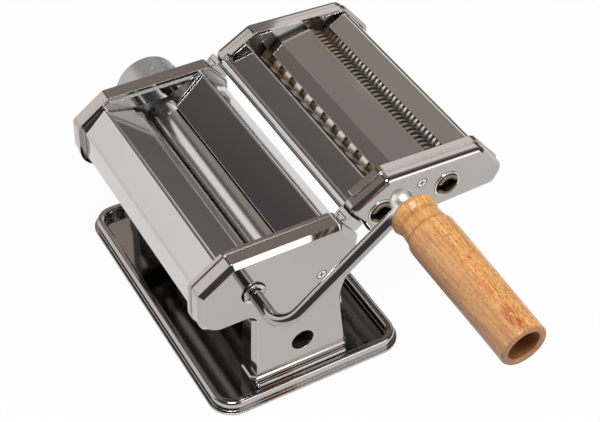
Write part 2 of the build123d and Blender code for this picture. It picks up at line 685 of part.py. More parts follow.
def scraper(roller_x, side, half_length):
    """A bar below a roller with a thin blade that reaches close to it, on the side away from the nip."""
    reach = ROLLER_R + SCRAPER_GAP
    angle = math.radians(SCRAPER_EDGE_ANGLE)
    edge_x = roller_x + side * reach * math.cos(angle)
    edge_z = ROLLER_Z - reach * math.sin(angle)
    half = SCRAPER_BAR_X / 2
    bar = block(
        edge_x - half,
        edge_x + half,
        -half_length,
        half_length,
        SCRAPER_TOP - SCRAPER_BAR_Z,
        SCRAPER_TOP,
    )
    thin = SCRAPER_BLADE / 2
    points = ((edge_x - thin, SCRAPER_TOP), (edge_x + thin, SCRAPER_TOP), (edge_x, edge_z))
    return bar + slab(xz_face(points, [0] * len(points)), -half_length, half_length)


# Rollers and their gears


def crank_socket(x, z, mouth_y):
    """What is cut from a driving roller's near end: the crank's bore and its cross slot."""
    bore = rod(x, z, SOCKET_BORE_R, mouth_y, mouth_y + SOCKET_DEPTH)
    half = SLOT_WIDTH / 2
    slot = block(x - 2 * SOCKET_R, x + 2 * SOCKET_R, mouth_y, mouth_y + SLOT_DEPTH, z - half, z + half)
    return bore + slot


def fixed_roller():
    mouth = -FACE_Y - SOCKET_PROUD
    shoulder = -PLATE_OUT - BUSH_FLANGE - GEAR_GAP / 2
    roller = rod(FIXED_X, ROLLER_Z, ROLLER_R, -ROLLER_END, ROLLER_END)
    roller += rod(FIXED_X, ROLLER_Z, JOURNAL_R, shoulder, PLATE_OUT + BUSH_FLANGE)
    roller += rod(FIXED_X, ROLLER_Z, SOCKET_R, mouth, shoulder)
    return roller - crank_socket(FIXED_X, ROLLER_Z, mouth)


def adjustable_roller():
    roller = rod(ADJ_X, ROLLER_Z, ROLLER_R, -ROLLER_END, ROLLER_END)
    return roller + rod(ADJ_X, ROLLER_Z, JOURNAL_R, -GEAR_Y - GEAR_WIDTH, journal_far_end())


def journal_far_end():
    return PLATE_OUT + BUSH_FLANGE


def roller_gear(x, bore, turn):
    place = Pos(x, 0, ROLLER_Z)
    spacing = 2 * ROLLER_R + SHEET_MIN
    teeth = (ROLLER_TEETH, spacing, ROLLER_ADDENDUM, ROLLER_DEDENDUM, ROLLER_BACKLASH)
    return place * gear(*teeth, bore + SEAT, -GEAR_Y - GEAR_WIDTH, -GEAR_Y, turn)


# Carriage of the adjustable roller


def carriage_block(outer_y):
    lug_in = RIM_Y - LUG_GAP - LUG_THICK
    body = block(
        ADJ_X - BLOCK_HALF_X,
        ADJ_X + BLOCK_HALF_X,
        -outer_y,
        -RIM_Y + LUG_GAP,
        ROLLER_Z - BLOCK_HALF_Z,
        ROLLER_Z + BLOCK_HALF_Z,
    )
    body += block(
        ADJ_X - LUG_HALF_X,
        ADJ_X + LUG_HALF_X,
        -RIM_Y + LUG_GAP,
        -lug_in,
        LUG_BOTTOM,
        ROLLER_Z + BLOCK_HALF_Z,
    )
    return body - rod(ADJ_X, ROLLER_Z, JOURNAL_R + RUN, -outer_y, -lug_in)


def scraper_screw_x():
    return ADJ_X + (ROLLER_R + SCRAPER_GAP) * math.cos(math.radians(SCRAPER_EDGE_ANGLE))


def scraper_screw_z():
    return SCRAPER_TOP - SCRAPER_BAR_Z / 2


def scraper_screws():
    lug_in = RIM_Y - LUG_GAP - LUG_THICK
    place = (scraper_screw_x(), scraper_screw_z())
    screw = rod(*place, SCRAPER_SCREW_R, -lug_in - LUG_THICK, -lug_in + LUG_THICK)
    return [screw, far_side(screw)]


def scraper_screw_holes():
    lug_in = RIM_Y - LUG_GAP - LUG_THICK
    radius = SCRAPER_SCREW_R + SEAT
    hole = rod(scraper_screw_x(), scraper_screw_z(), radius, -lug_in - LUG_THICK, -lug_in + LUG_THICK)
    return hole + far_side(hole)


def near_carriage_block():
    return carriage_block(PLATE_OUT + BUSH_FLANGE) - scraper_screw_holes()


def cam_y():
    return journal_far_end() + YOKE_FLOOR_GAP


def far_carriage_block():
    outer = cam_y() + CAM_WIDTH + YOKE_FLOOR_GAP
    yoke = block(
        ADJ_X - CAM_R - CAM_GAP,
        ADJ_X + CAM_R + CAM_GAP,
        journal_far_end(),
        outer,
        ROLLER_Z - CAM_R - ECCENTRICITY - CAM_GAP,
        ROLLER_Z + CAM_R + ECCENTRICITY + CAM_GAP,
    )
    return far_side(carriage_block(outer)) - yoke - scraper_screw_holes()


def rear_scraper():
    return scraper(ADJ_X, 1, RIM_Y - LUG_GAP - LUG_THICK) - scraper_screw_holes()


# Regulator: shaft with its eccentric, bush, dial knob and stop pin


def knob_y():
    return FACE_Y + KNOB_GAP


def regulator_shaft():
    cam_x = DIAL_X - ECCENTRICITY * math.sin(HALF_SWEEP)
    cam_z = ROLLER_Z - ECCENTRICITY * math.cos(HALF_SWEEP)
    shaft = rod(cam_x, cam_z, CAM_R, cam_y(), cam_y() + CAM_WIDTH)
    end = knob_y() + KNOB_DEPTH - KNOB_WEB
    shaft += rod(DIAL_X, ROLLER_Z, SHAFT_R, cam_y() + CAM_WIDTH, end)
    return shaft - rod(DIAL_X, ROLLER_Z, SCREW_SHANK_R + SEAT, end - SCREW_LENGTH, end)


def regulator_bush():
    inner = FACE_Y - PANEL_SHEET
    bush = rod(DIAL_X, ROLLER_Z, REG_BUSH_R, inner - PANEL_SHEET, FACE_Y)
    bush += rod(DIAL_X, ROLLER_Z, REG_BUSH_FLANGE_R, FACE_Y, FACE_Y + BUSH_FLANGE)
    return bush - rod(DIAL_X, ROLLER_Z, SHAFT_R + RUN, inner - PANEL_SHEET, FACE_Y + BUSH_FLANGE)


def spring_washer():
    start = FACE_Y + BUSH_FLANGE + SEAT
    return ring(DIAL_X, ROLLER_Z, REG_BUSH_FLANGE_R, SHAFT_R + SEAT, start, start + WASHER_THICK)


def regulator_knob():
    y0 = knob_y()
    y1 = y0 + KNOB_DEPTH
    web = y1 - KNOB_WEB
    knob = rod(DIAL_X, ROLLER_Z, KNOB_R, y0, y1)
    rim = knob.edges().sort_by(Axis.Y)[-1]
    knob = fillet(rim, KNOB_FILLET)
    knob -= ring(DIAL_X, ROLLER_Z, KNOB_R - KNOB_WALL, KNOB_HUB_R, y0, web)
    knob += rod(DIAL_X, ROLLER_Z, KNOB_HUB_R, FACE_Y + BUSH_FLANGE + 2 * SEAT + WASHER_THICK, y0)
    knob -= rod(DIAL_X, ROLLER_Z, SHAFT_R + SEAT, FACE_Y, web)
    knob -= far_side(screw_hole(DIAL_X, ROLLER_Z, -y1, KNOB_WEB))
    x, z = polar(STOP_PIN_RING_R, stop_pin_angle())
    return knob - rod(DIAL_X + x, ROLLER_Z + z, STOP_PIN_R + SEAT, y0, web + KNOB_WEB / 2)


def stop_pin():
    x, z = polar(STOP_PIN_RING_R, stop_pin_angle())
    web = knob_y() + KNOB_DEPTH - KNOB_WEB
    return rod(DIAL_X + x, ROLLER_Z + z, STOP_PIN_R, FACE_Y - PANEL_SHEET, web + KNOB_WEB / 2)


def knob_screw():
    return far_side(cross_screw(DIAL_X, ROLLER_Z, -knob_y() - KNOB_DEPTH, SCREW_LENGTH))


# Crank and handle


def crank_points():
    tip_y = -FACE_Y - SOCKET_PROUD + SOCKET_DEPTH - ROD_R / 2
    arm_y = -FACE_Y - CRANK_REACH
    arm_x, arm_z = polar(CRANK_ARM, CRANK_ANGLE)
    corner = Vector(FIXED_X + arm_x, arm_y, ROLLER_Z + arm_z)
    return Vector(FIXED_X, tip_y, ROLLER_Z), Vector(FIXED_X, arm_y, ROLLER_Z), corner


def handle_plane():
    """Along the handle from the crank's second corner."""
    back, down = polar(1, SPLAY_ANGLE)
    return Plane(origin=crank_points()[2], x_dir=(1, 0, 0), z_dir=(0, -back, -down))


def pocket_floor():
    return HANDLE_START + HANDLE_LENGTH - HANDLE_POCKET_DEPTH


def crank_rod():
    tip, bend, corner = crank_points()
    end_s = pocket_floor() + HANDLE_WASHER + 2 * RUN
    end = handle_plane().from_local_coords(Vector(0, 0, end_s))
    path = FilletPolyline(tip, bend, corner, end, radius=[FIRST_BEND_R, SECOND_BEND_R])
    crank = sweep(Plane(origin=tip, z_dir=(0, -1, 0)) * Circle(ROD_R), path=path)
    crank += Pos(*(corner + Vector(0, KNUCKLE_R - ROD_R, 0))) * Sphere(KNUCKLE_R)
    rivet = Pos(0, 0, end_s + RIVET_HEAD / 2) * Cone(RIVET_R, RIVET_R / 2, RIVET_HEAD)
    crank += handle_plane().location * rivet
    wing_y = -FACE_Y - SOCKET_PROUD + WING_INSET
    half_span = SOCKET_R - WING_UNDER
    half_thick = WING_THICK / 2
    crank += block(
        FIXED_X - half_span,
        FIXED_X + half_span,
        wing_y,
        wing_y + WING_LENGTH,
        ROLLER_Z - half_thick,
        ROLLER_Z + half_thick,
    )
    return crank


def handle_washer():
    washer = Cylinder(HANDLE_WASHER_R, HANDLE_WASHER) - Cylinder(ROD_R + SEAT, HANDLE_WASHER)
    return handle_plane().location * Pos(0, 0, pocket_floor() + HANDLE_WASHER / 2 + RUN) * washer


def wooden_handle():
    start = HANDLE_START
    end = HANDLE_START + HANDLE_LENGTH
    neck = start + HANDLE_HEAD_LENGTH
    neck_end = neck + HANDLE_NECK_LENGTH
    shoulder = neck_end + HANDLE_SHOULDER_ROUND
    head = Spline(
        (HANDLE_HEAD_R - HANDLE_HEAD_ROUND, start),
        (HANDLE_HEAD_R, start + HANDLE_HEAD_LENGTH * HANDLE_WIDEST_SHARE),
        (HANDLE_NECK_R, neck),
        tangents=(HEAD_START_WAY, NECK_WAY),
    )
    cove = Line(head @ 1, (HANDLE_NECK_END_R, neck_end))
    step = Spline(cove @ 1, (HANDLE_SHOULDER_R, shoulder), tangents=(STEP_WAY, BARREL_WAY))
    barrel = Spline(step @ 1, (HANDLE_END_R, end - HANDLE_END_ROUND), tangents=(BARREL_WAY, TAIL_WAY))
    tail = Spline(barrel @ 1, (HANDLE_END_R - HANDLE_END_ROUND / 2, end), tangents=(TAIL_WAY, END_WAY))
    axis_side = Polyline(tail @ 1, (0, end), (0, start), head @ 0)
    outline = head + cove + step + barrel + tail + axis_side
    handle = revolve(Plane.XZ * make_face(outline), axis=Axis.Z)
    handle -= Pos(0, 0, start + HANDLE_LENGTH / 2) * Cylinder(HANDLE_BORE_R, HANDLE_LENGTH)
    pocket = Cylinder(HANDLE_POCKET_R, HANDLE_POCKET_DEPTH)
    handle -= Pos(0, 0, end - HANDLE_POCKET_DEPTH / 2) * pocket
    mouth = Cone(HANDLE_POCKET_R, HANDLE_POCKET_R + POCKET_MOUTH, POCKET_MOUTH)
    handle -= Pos(0, 0, end - POCKET_MOUTH / 2) * mouth
    return handle_plane().location * handle


# Rails on the body and hooks on the cutter


def slope_plane(s, height):
    """On the body's sloping wall, s along it from the top; local x is outward and local y is +Y."""
    x = SLOPE_TOP_X + s * SLOPE_COS + height * SLOPE_SIN
    z = CAP_TOP - s * SLOPE_SIN + height * SLOPE_COS
    along = (SLOPE_COS, 0, -SLOPE_SIN)
    return Plane(origin=(x, -RAIL_CENTRE_Y, z), x_dir=(SLOPE_SIN, 0, SLOPE_COS), z_dir=along)


def slope_bar(width, low, high):
    """A bar along the slope, centred on the rail, between two heights above the wall."""
    sketch = Pos((low + high) / 2, 0) * Rectangle(high - low, width)
    return extrude(slope_plane(RAIL_START, 0) * sketch, amount=RAIL_LENGTH)


def cutter_rail():
    stem = slope_bar(RAIL_STEM_WIDTH, 0, RAIL_STEM)
    return stem + slope_bar(RAIL_HEAD_WIDTH, RAIL_STEM, RAIL_STEM + RAIL_HEAD)


def cutter_hook():
    top = RAIL_STEM + RAIL_HEAD
    hook = slope_bar(HOOK_WIDTH, HOOK_GAP, CUT_LEFT_GAP)
    hook -= slope_bar(RAIL_HEAD_WIDTH + 2 * HOOK_GAP, RAIL_STEM - HOOK_GAP, top + HOOK_GAP)
    return hook - slope_bar(RAIL_STEM_WIDTH + 2 * HOOK_GAP, 0, RAIL_STEM)


# Cutter attachment


def cutter_outline():
    left = (CUT_LEFT_X, CUT_LEFT_Z)
    left_low = beside(left, (CUT_LEFT_LENGTH * SLOPE_COS, -CUT_LEFT_LENGTH * SLOPE_SIN))
    points = [left, CUT_BEVEL, CUT_TOP_RIGHT, CUT_NOSE, CUT_BOTTOM_RIGHT, CUT_BOTTOM_LEFT, left_low]
    upper = [CUT_LEFT_R, CUT_BEVEL_R, CUT_TOP_RIGHT_R, CUT_NOSE_R]
    return xz_face(points, upper + [CUT_BOTTOM_RIGHT_R, CUT_BOTTOM_LEFT_R, 0])


def cutter_cap_blank():
    outline = cutter_outline()
    inner = offset(outline, -PANEL_SHEET)
    outer, cavity = shell(outline, inner, -RIM_Y, CUT_CAP_DEPTH, PANEL_SHEET)
    outer, cavity = rounded(outer, cavity, CUT_EDGE_R, PANEL_SHEET)
    lip_y = -RIM_Y + CUT_RIM_LIP
    band = slab(offset(outline, CUT_RIM_PROUD), -RIM_Y - CUT_RIM_BAND, lip_y)
    band -= slab(inner, -RIM_Y - CUT_RIM_BAND, lip_y)
    top = 2 * CUT_BEVEL[1]
    right = 2 * CUT_NOSE[0]
    upper = block(SLOPE_TOP_X, right, -CUT_FACE_Y, 0, CUT_LEFT_Z + 2 * RIM_BAND, top)
    band &= upper + block(CUT_TOP_RIGHT[0], right, -CUT_FACE_Y, 0, CUT_RIM_LOW, top)
    return outer + band - cavity - screw_hole(*CUT_TIES[0], -CUT_FACE_Y, CUT_CAP_DEPTH)


def cutter_near_cap(blank):
    for x, z in (WIDE_DRIVE, FINE_DRIVE):
        blank -= rod(x, z, SOCKET_R + SOCKET_HOLE_GAP, -CUT_FACE_Y - OVERCUT, -RIM_Y)
    return blank


def cutter_plate(near):
    plate = slab(offset(cutter_outline(), -PANEL_SHEET - PLATE_GAP), -CUT_PLATE_OUT, -RIM_Y)
    for x, z in (WIDE_DRIVE, FINE_DRIVE):
        radius = CUT_SOCKET_BUSH_R if near else CUT_BUSH_R
        plate -= rod(x, z, radius + SEAT, -CUT_PLATE_OUT, -RIM_Y)
    for x, z in (WIDE_DRIVEN, FINE_DRIVEN):
        plate -= rod(x, z, CUT_BUSH_R + SEAT, -CUT_PLATE_OUT, -RIM_Y)
    for x, z in CUT_TIES:
        plate -= rod(x, z, TIE_R + SEAT, -CUT_PLATE_OUT, -RIM_Y)
    return plate


def cutter_bush(place, outer, flange, bore):
    flange_y = -CUT_PLATE_OUT - CUT_BUSH_FLANGE
    bush = rod(*place, outer, -CUT_PLATE_OUT, -RIM_Y)
    bush += rod(*place, flange, flange_y, -CUT_PLATE_OUT)
    return bush - rod(*place, bore + RUN, flange_y, -RIM_Y)


def socket_bushes():
    sizes = (CUT_SOCKET_BUSH_R, SOCKET_FLANGE_R, SOCKET_R)
    return [cutter_bush(place, *sizes) for place in (WIDE_DRIVE, FINE_DRIVE)]


def small_bushes():
    sizes = (CUT_BUSH_R, CUT_BUSH_R + CUT_BUSH_RIM, CUT_JOURNAL_R)
    near = [cutter_bush(place, *sizes) for place in (WIDE_DRIVEN, FINE_DRIVEN)]
    places = (WIDE_DRIVE, WIDE_DRIVEN, FINE_DRIVE, FINE_DRIVEN)
    return near + [far_side(cutter_bush(place, *sizes)) for place in places]


def ring_width(pitch):
    return (pitch - CUT_RING_PLAY) / 2


def cutter_end():
    return RIM_Y - CUT_END_GAP


def ring_count(pitch):
    """The odd number of rings at that pitch that both rollers of a pair have room for."""
    room = cutter_end() - pitch / 4 - ring_width(pitch) / 2
    return 1 + 2 * math.floor(room / pitch)


def cutting_roller(place, pitch, shift, driving):
    """Cutting rings on a core, at a pitch, shifted along Y so that they run in the mate's grooves."""
    end = cutter_end()
    rings = ring_count(pitch)
    half = ring_width(pitch) / 2
    outline = [(0, -end), (CUT_GROOVE_R, -end)]
    for i in range(rings):
        middle = (i - (rings - 1) / 2) * pitch + shift
        low = middle - half
        high = middle + half
        outline += [(CUT_GROOVE_R, low), (CUT_RING_R, low), (CUT_RING_R, high), (CUT_GROOVE_R, high)]
    outline += [(CUT_GROOVE_R, end), (0, end)]
    core = revolve(make_face(Polyline(*outline, close=True)), axis=Axis.Y)
    x, z = place
    roller = Pos(x, 0, z) * core
    roller += rod(x, z, CUT_JOURNAL_R, end, CUT_GEAR_Y + CUT_GEAR_WIDTH)
    if not driving:
        return roller + rod(x, z, CUT_JOURNAL_R, -CUT_PLATE_OUT - CUT_BUSH_FLANGE, -end)
    mouth = -CUT_FACE_Y - SOCKET_PROUD
    roller += rod(x, z, SOCKET_R, mouth, -end)
    return roller - crank_socket(x, z, mouth)


def cutter_gear(place, turn):
    teeth = (CUT_TEETH, PAIR_SPACING, CUT_ADDENDUM, CUT_DEDENDUM, CUT_BACKLASH)
    blank = gear(*teeth, CUT_JOURNAL_R + SEAT, CUT_GEAR_Y, CUT_GEAR_Y + CUT_GEAR_WIDTH, turn)
    return Pos(place[0], 0, place[1]) * blank


def comb(place, pitch, shift):
    """A bar under a cutting roller with a tooth in each of its inner grooves."""
    x, z = place
    rings = ring_count(pitch)
    half_bar = COMB_BAR / 2
    low = z - COMB_DROP
    bar = block(x - half_bar, x + half_bar, -RIM_Y, RIM_Y, low, low + COMB_BAR)
    half_tooth = COMB_TOOTH / 2
    half_groove = (pitch - ring_width(pitch)) / 2 - COMB_GAP
    teeth = []
    for i in range(rings - 1):
        middle = (i - (rings - 2) / 2) * pitch + shift
        y0 = middle - half_groove
        y1 = middle + half_groove
        tip = z - CUT_GROOVE_R - COMB_GAP
        teeth.append(block(x - half_tooth, x + half_tooth, y0, y1, low + COMB_BAR, tip))
    return bar + teeth


def cutter_left_cover():
    hem_top = beside(CUT_HEM, (0, CUT_HEM_R))
    edge = over_slot(WIDE_DRIVE, LEFT_EDGE_X, 0)
    ridge = over_slot(WIDE_DRIVE, *LEFT_RIDGE_AT)
    sheet = bent_sheet([edge, ridge, hem_top], LEFT_COVER_R, COVER_SHEET, -RIM_Y, RIM_Y)
    hem = ring(*CUT_HEM, CUT_HEM_R, CUT_HEM_R - COVER_SHEET, -RIM_Y, RIM_Y)
    return sheet + hem


def cutter_centre_cover():
    right = over_slot(FINE_DRIVE, *CENTRE_RIGHT_AT)
    ridge = over_slot(WIDE_DRIVEN, *CENTRE_RIDGE_AT)
    left = over_slot(WIDE_DRIVEN, CENTRE_LEFT_X, 0)
    return bent_sheet([right, ridge, left], COVER_BEND_R, COVER_SHEET, -RIM_Y, RIM_Y)


def cutter_right_cover():
    points = [
        beside(FINE_DRIVEN, RIGHT_LOW_AT),
        beside(FINE_DRIVEN, RIGHT_WALL_AT),
        over_slot(FINE_DRIVEN, *RIGHT_KNEE_AT),
        over_slot(FINE_DRIVEN, RIGHT_LEFT_X, 0),
    ]
    bends = [RIGHT_LOW_R, RIGHT_KNEE_R]
    return bent_sheet(points, bends, COVER_SHEET, -RIM_Y, RIM_Y)


def cutter_screwed_tie():
    end = CUT_FACE_Y - PANEL_SHEET
    tie = rod(*CUT_TIES[0], TIE_R, -end, end)
    bore = rod(*CUT_TIES[0], SCREW_SHANK_R + SEAT, -end, -end + SCREW_LENGTH)
    return tie - bore - far_side(bore)


def cutter_screws():
    near = cross_screw(*CUT_TIES[0], -CUT_FACE_Y, SCREW_LENGTH)
    return [near, far_side(near)]


def build():
    """Every node by name."""
    blank = panel_blank()
    plate = plate_blank()
    cap = cutter_cap_blank()
    rail = cutter_rail()
    hook = cutter_hook()
    bush = roller_bush()
    cheek = feed_cheek()
    mate_turn = 180 + 180 / ROLLER_TEETH
    cut_mate_turn = 180 + 180 / CUT_TEETH
    nodes = {
        "base_tray": base_tray(),
        "near_side_panel": near_side_panel(blank),
        "far_side_panel": far_side_panel(blank),
        "near_inner_plate": plate,
        "far_inner_plate": far_side(plate),
        "front_cover": front_cover(),
        "rear_cover": rear_cover(),
        "near_feed_cheek": cheek,
        "far_feed_cheek": far_side(cheek),
        "rear_tie_rod": rear_tie_rod(),
        "front_tie_rod": riveted_tie_rod(FRONT_TIE, PLATE_OUT),
        "top_tie_rod": riveted_tie_rod(TOP_TIE, PLATE_OUT),
        "near_roller_bush": bush,
        "far_roller_bush": far_side(bush),
        "panel_screws": panel_screws(),
        "foot_screws": foot_screws(),
        "front_scraper": scraper(FIXED_X, -1, RIM_Y),
        "near_cutter_rail": rail,
        "far_cutter_rail": far_side(rail),
        "regulator_bush": regulator_bush(),
        "fixed_roller": fixed_roller(),
        "fixed_roller_gear": roller_gear(FIXED_X, SOCKET_R, 0),
        "adjustable_roller": adjustable_roller(),
        "adjustable_roller_gear": roller_gear(ADJ_X, JOURNAL_R, mate_turn),
        "near_carriage_block": near_carriage_block(),
        "far_carriage_block": far_carriage_block(),
        "rear_scraper": rear_scraper(),
        "scraper_screws": scraper_screws(),
        "regulator_shaft": regulator_shaft(),
        "regulator_knob": regulator_knob(),
        "stop_pin": stop_pin(),
        "knob_screw": knob_screw(),
        "spring_washer": spring_washer(),
        "crank_rod": crank_rod(),
        "handle_washer": handle_washer(),
        "wooden_handle": wooden_handle(),
        "cutter_near_cap": cutter_near_cap(cap),
        "cutter_far_cap": far_side(cap),
        "cutter_near_plate": cutter_plate(True),
        "cutter_far_plate": far_side(cutter_plate(False)),
        "cutter_left_cover": cutter_left_cover(),
        "cutter_centre_cover": cutter_centre_cover(),
        "cutter_right_cover": cutter_right_cover(),
        "cutter_middle_tie_rod": cutter_screwed_tie(),
        "cutter_right_tie_rod": riveted_tie_rod(CUT_TIES[1], CUT_PLATE_OUT),
        "cutter_screws": cutter_screws(),
        "near_cutter_hook": hook,
        "far_cutter_hook": far_side(hook),
        "socket_bushes": socket_bushes(),
        "cutter_small_bushes": small_bushes(),
    }
    pairs = (
        ("wide", WIDE_DRIVE, WIDE_DRIVEN, WIDE_PITCH),
        ("fine", FINE_DRIVE, FINE_DRIVEN, FINE_PITCH),
    )
    for name, drive, driven, pitch in pairs:
        shift = pitch / 4
        nodes[name + "_driving_cutter"] = cutting_roller(drive, pitch, -shift, True)
        nodes[name + "_driven_cutter"] = cutting_roller(driven, pitch, shift, False)
        nodes[name + "_driving_gear"] = cutter_gear(drive, 0)
        nodes[name + "_driven_gear"] = cutter_gear(driven, cut_mate_turn)
        nodes[name + "_combs"] = [comb(drive, pitch, -shift), comb(driven, pitch, shift)]
    return nodes


def write(nodes):
    os.makedirs("parts", exist_ok=True)
    for name, part in nodes.items():
        solids = part if isinstance(part, list) else [part]
        group = Compound(children=[solid for piece in solids for solid in piece.solids()])
        group.label = name
        export_step(group, os.path.join("parts", name + ".step"))


if __name__ == "__main__":
    write(build())
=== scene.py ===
# %% [markdown]
# A hand-cranked pasta machine, dressed in Blender
#
# The imported model already holds every sheet, roller, gear and screw in its place. This lesson
# keeps those shapes and gives them their finishes: mirror-polished steel, ground rollers, a cast
# dial and a lacquered wooden handle. Only small shapes are added: raised numbers on the dial,
# eyelets in the cutter's crank holes, black sleeves of painted shade behind the clamp holes and
# seams along the feet.

# %% Load the imported model
import math

import bpy
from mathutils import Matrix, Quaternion, Vector


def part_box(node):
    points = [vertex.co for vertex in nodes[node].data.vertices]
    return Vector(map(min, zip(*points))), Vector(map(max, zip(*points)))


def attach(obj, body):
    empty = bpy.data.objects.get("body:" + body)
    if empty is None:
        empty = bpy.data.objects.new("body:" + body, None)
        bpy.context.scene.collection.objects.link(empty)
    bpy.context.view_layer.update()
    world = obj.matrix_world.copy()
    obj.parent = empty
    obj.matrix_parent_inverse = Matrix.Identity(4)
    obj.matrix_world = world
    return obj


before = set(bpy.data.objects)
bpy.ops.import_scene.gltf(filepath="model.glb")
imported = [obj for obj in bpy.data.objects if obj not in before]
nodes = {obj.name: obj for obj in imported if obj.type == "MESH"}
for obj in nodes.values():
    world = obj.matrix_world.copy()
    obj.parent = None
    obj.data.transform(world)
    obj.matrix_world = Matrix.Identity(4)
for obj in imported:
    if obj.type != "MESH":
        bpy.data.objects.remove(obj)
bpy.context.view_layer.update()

# %% [markdown]
# The camera comes first, because every finish is judged through it. Its place was worked out
# from the straight edges of the base and of the two end caps. A long lens from above keeps the
# machine's edges nearly parallel. The track quaternion aims the camera, and a small roll is added
# about its own axis.

# %% Camera
IMAGE_WIDTH = 600
SENSOR_WIDTH = 36.0
CAMERA_PLACE = Vector((-0.2946, -0.5463, 0.6530))
CAMERA_AZIMUTH = math.radians(-31.52)
CAMERA_ELEVATION = math.radians(43.65)
CAMERA_ROLL = math.radians(2.58)
FOCAL_PIXELS = 1375.9
SHIFT_PIXELS = (3.8, 2.2)


def towards(azimuth, elevation):
    """The direction from the object to something at that azimuth and elevation."""
    level = math.cos(elevation)
    return Vector((math.sin(azimuth) * level, -math.cos(azimuth) * level, math.sin(elevation)))


def put_in_scene(name, data):
    """A new object with that data, linked into the scene."""
    made = bpy.data.objects.new(name, data)
    bpy.context.scene.collection.objects.link(made)
    return made


camera_data = bpy.data.cameras.new("photo_camera")
camera_data.sensor_width = SENSOR_WIDTH
camera_data.lens = FOCAL_PIXELS / IMAGE_WIDTH * SENSOR_WIDTH
camera_data.shift_x = SHIFT_PIXELS[0] / IMAGE_WIDTH
camera_data.shift_y = SHIFT_PIXELS[1] / IMAGE_WIDTH
camera = put_in_scene("photo_camera", camera_data)
camera.location = CAMERA_PLACE
camera.rotation_mode = "QUATERNION"
aim = (-towards(CAMERA_AZIMUTH, CAMERA_ELEVATION)).to_track_quat("-Z", "Y")
camera.rotation_quaternion = aim @ Quaternion((0, 0, 1), CAMERA_ROLL)
bpy.context.scene.camera = camera
bpy.context.scene.view_settings.view_transform = "Standard"
print("lens", round(camera_data.lens, 1), "mm")

# %% [markdown]
# Shader nodes read badly as long lists of links, so a small class wraps an output socket. Adding
# or multiplying two of them adds the Math node, and a number may stand on either side.


# %% A socket that can be used in sums
class Value:
    """An output socket of a node tree, for use in Python expressions."""

    def __init__(self, tree, socket):
        self.tree = tree
        self.socket = socket

    def sum_with(self, operation, first, second):
        return self.tree.node("ShaderNodeMath", {"operation": operation}, {0: first, 1: second})

    def __add__(self, other):
        return self.sum_with("ADD", self, other)

    def __radd__(self, other):
        return self.sum_with("ADD", other, self)

    def __sub__(self, other):
        return self.sum_with("SUBTRACT", self, other)

    def __rsub__(self, other):
        return self.sum_with("SUBTRACT", other, self)

    def __mul__(self, other):
        return self.sum_with("MULTIPLY", self, other)

    def __rmul__(self, other):
        return self.sum_with("MULTIPLY", other, self)

    def __truediv__(self, other):
        return self.sum_with("DIVIDE", self, other)

    def __rtruediv__(self, other):
        return self.sum_with("DIVIDE", other, self)

    def __pow__(self, other):
        return self.sum_with("POWER", self, other)


# %% [markdown]
# A material and the world are both node trees. One method makes any node from its type, its
# settings and its sockets. The others name the few nodes that come back in every finish, among them
# two for edges: real sheet has no perfectly sharp edge, and its edges get a lighter colour, which
# is partly wear and partly painted highlight.

# %% A node tree
MIX_FACTOR = 0
MIX_FIRST = 6
MIX_SECOND = 7
MIX_COLOUR = 2
EDGE_SAMPLES = 6
EDGE_STOPS = [(0.01, 0.0), (0.15, 1.0)]


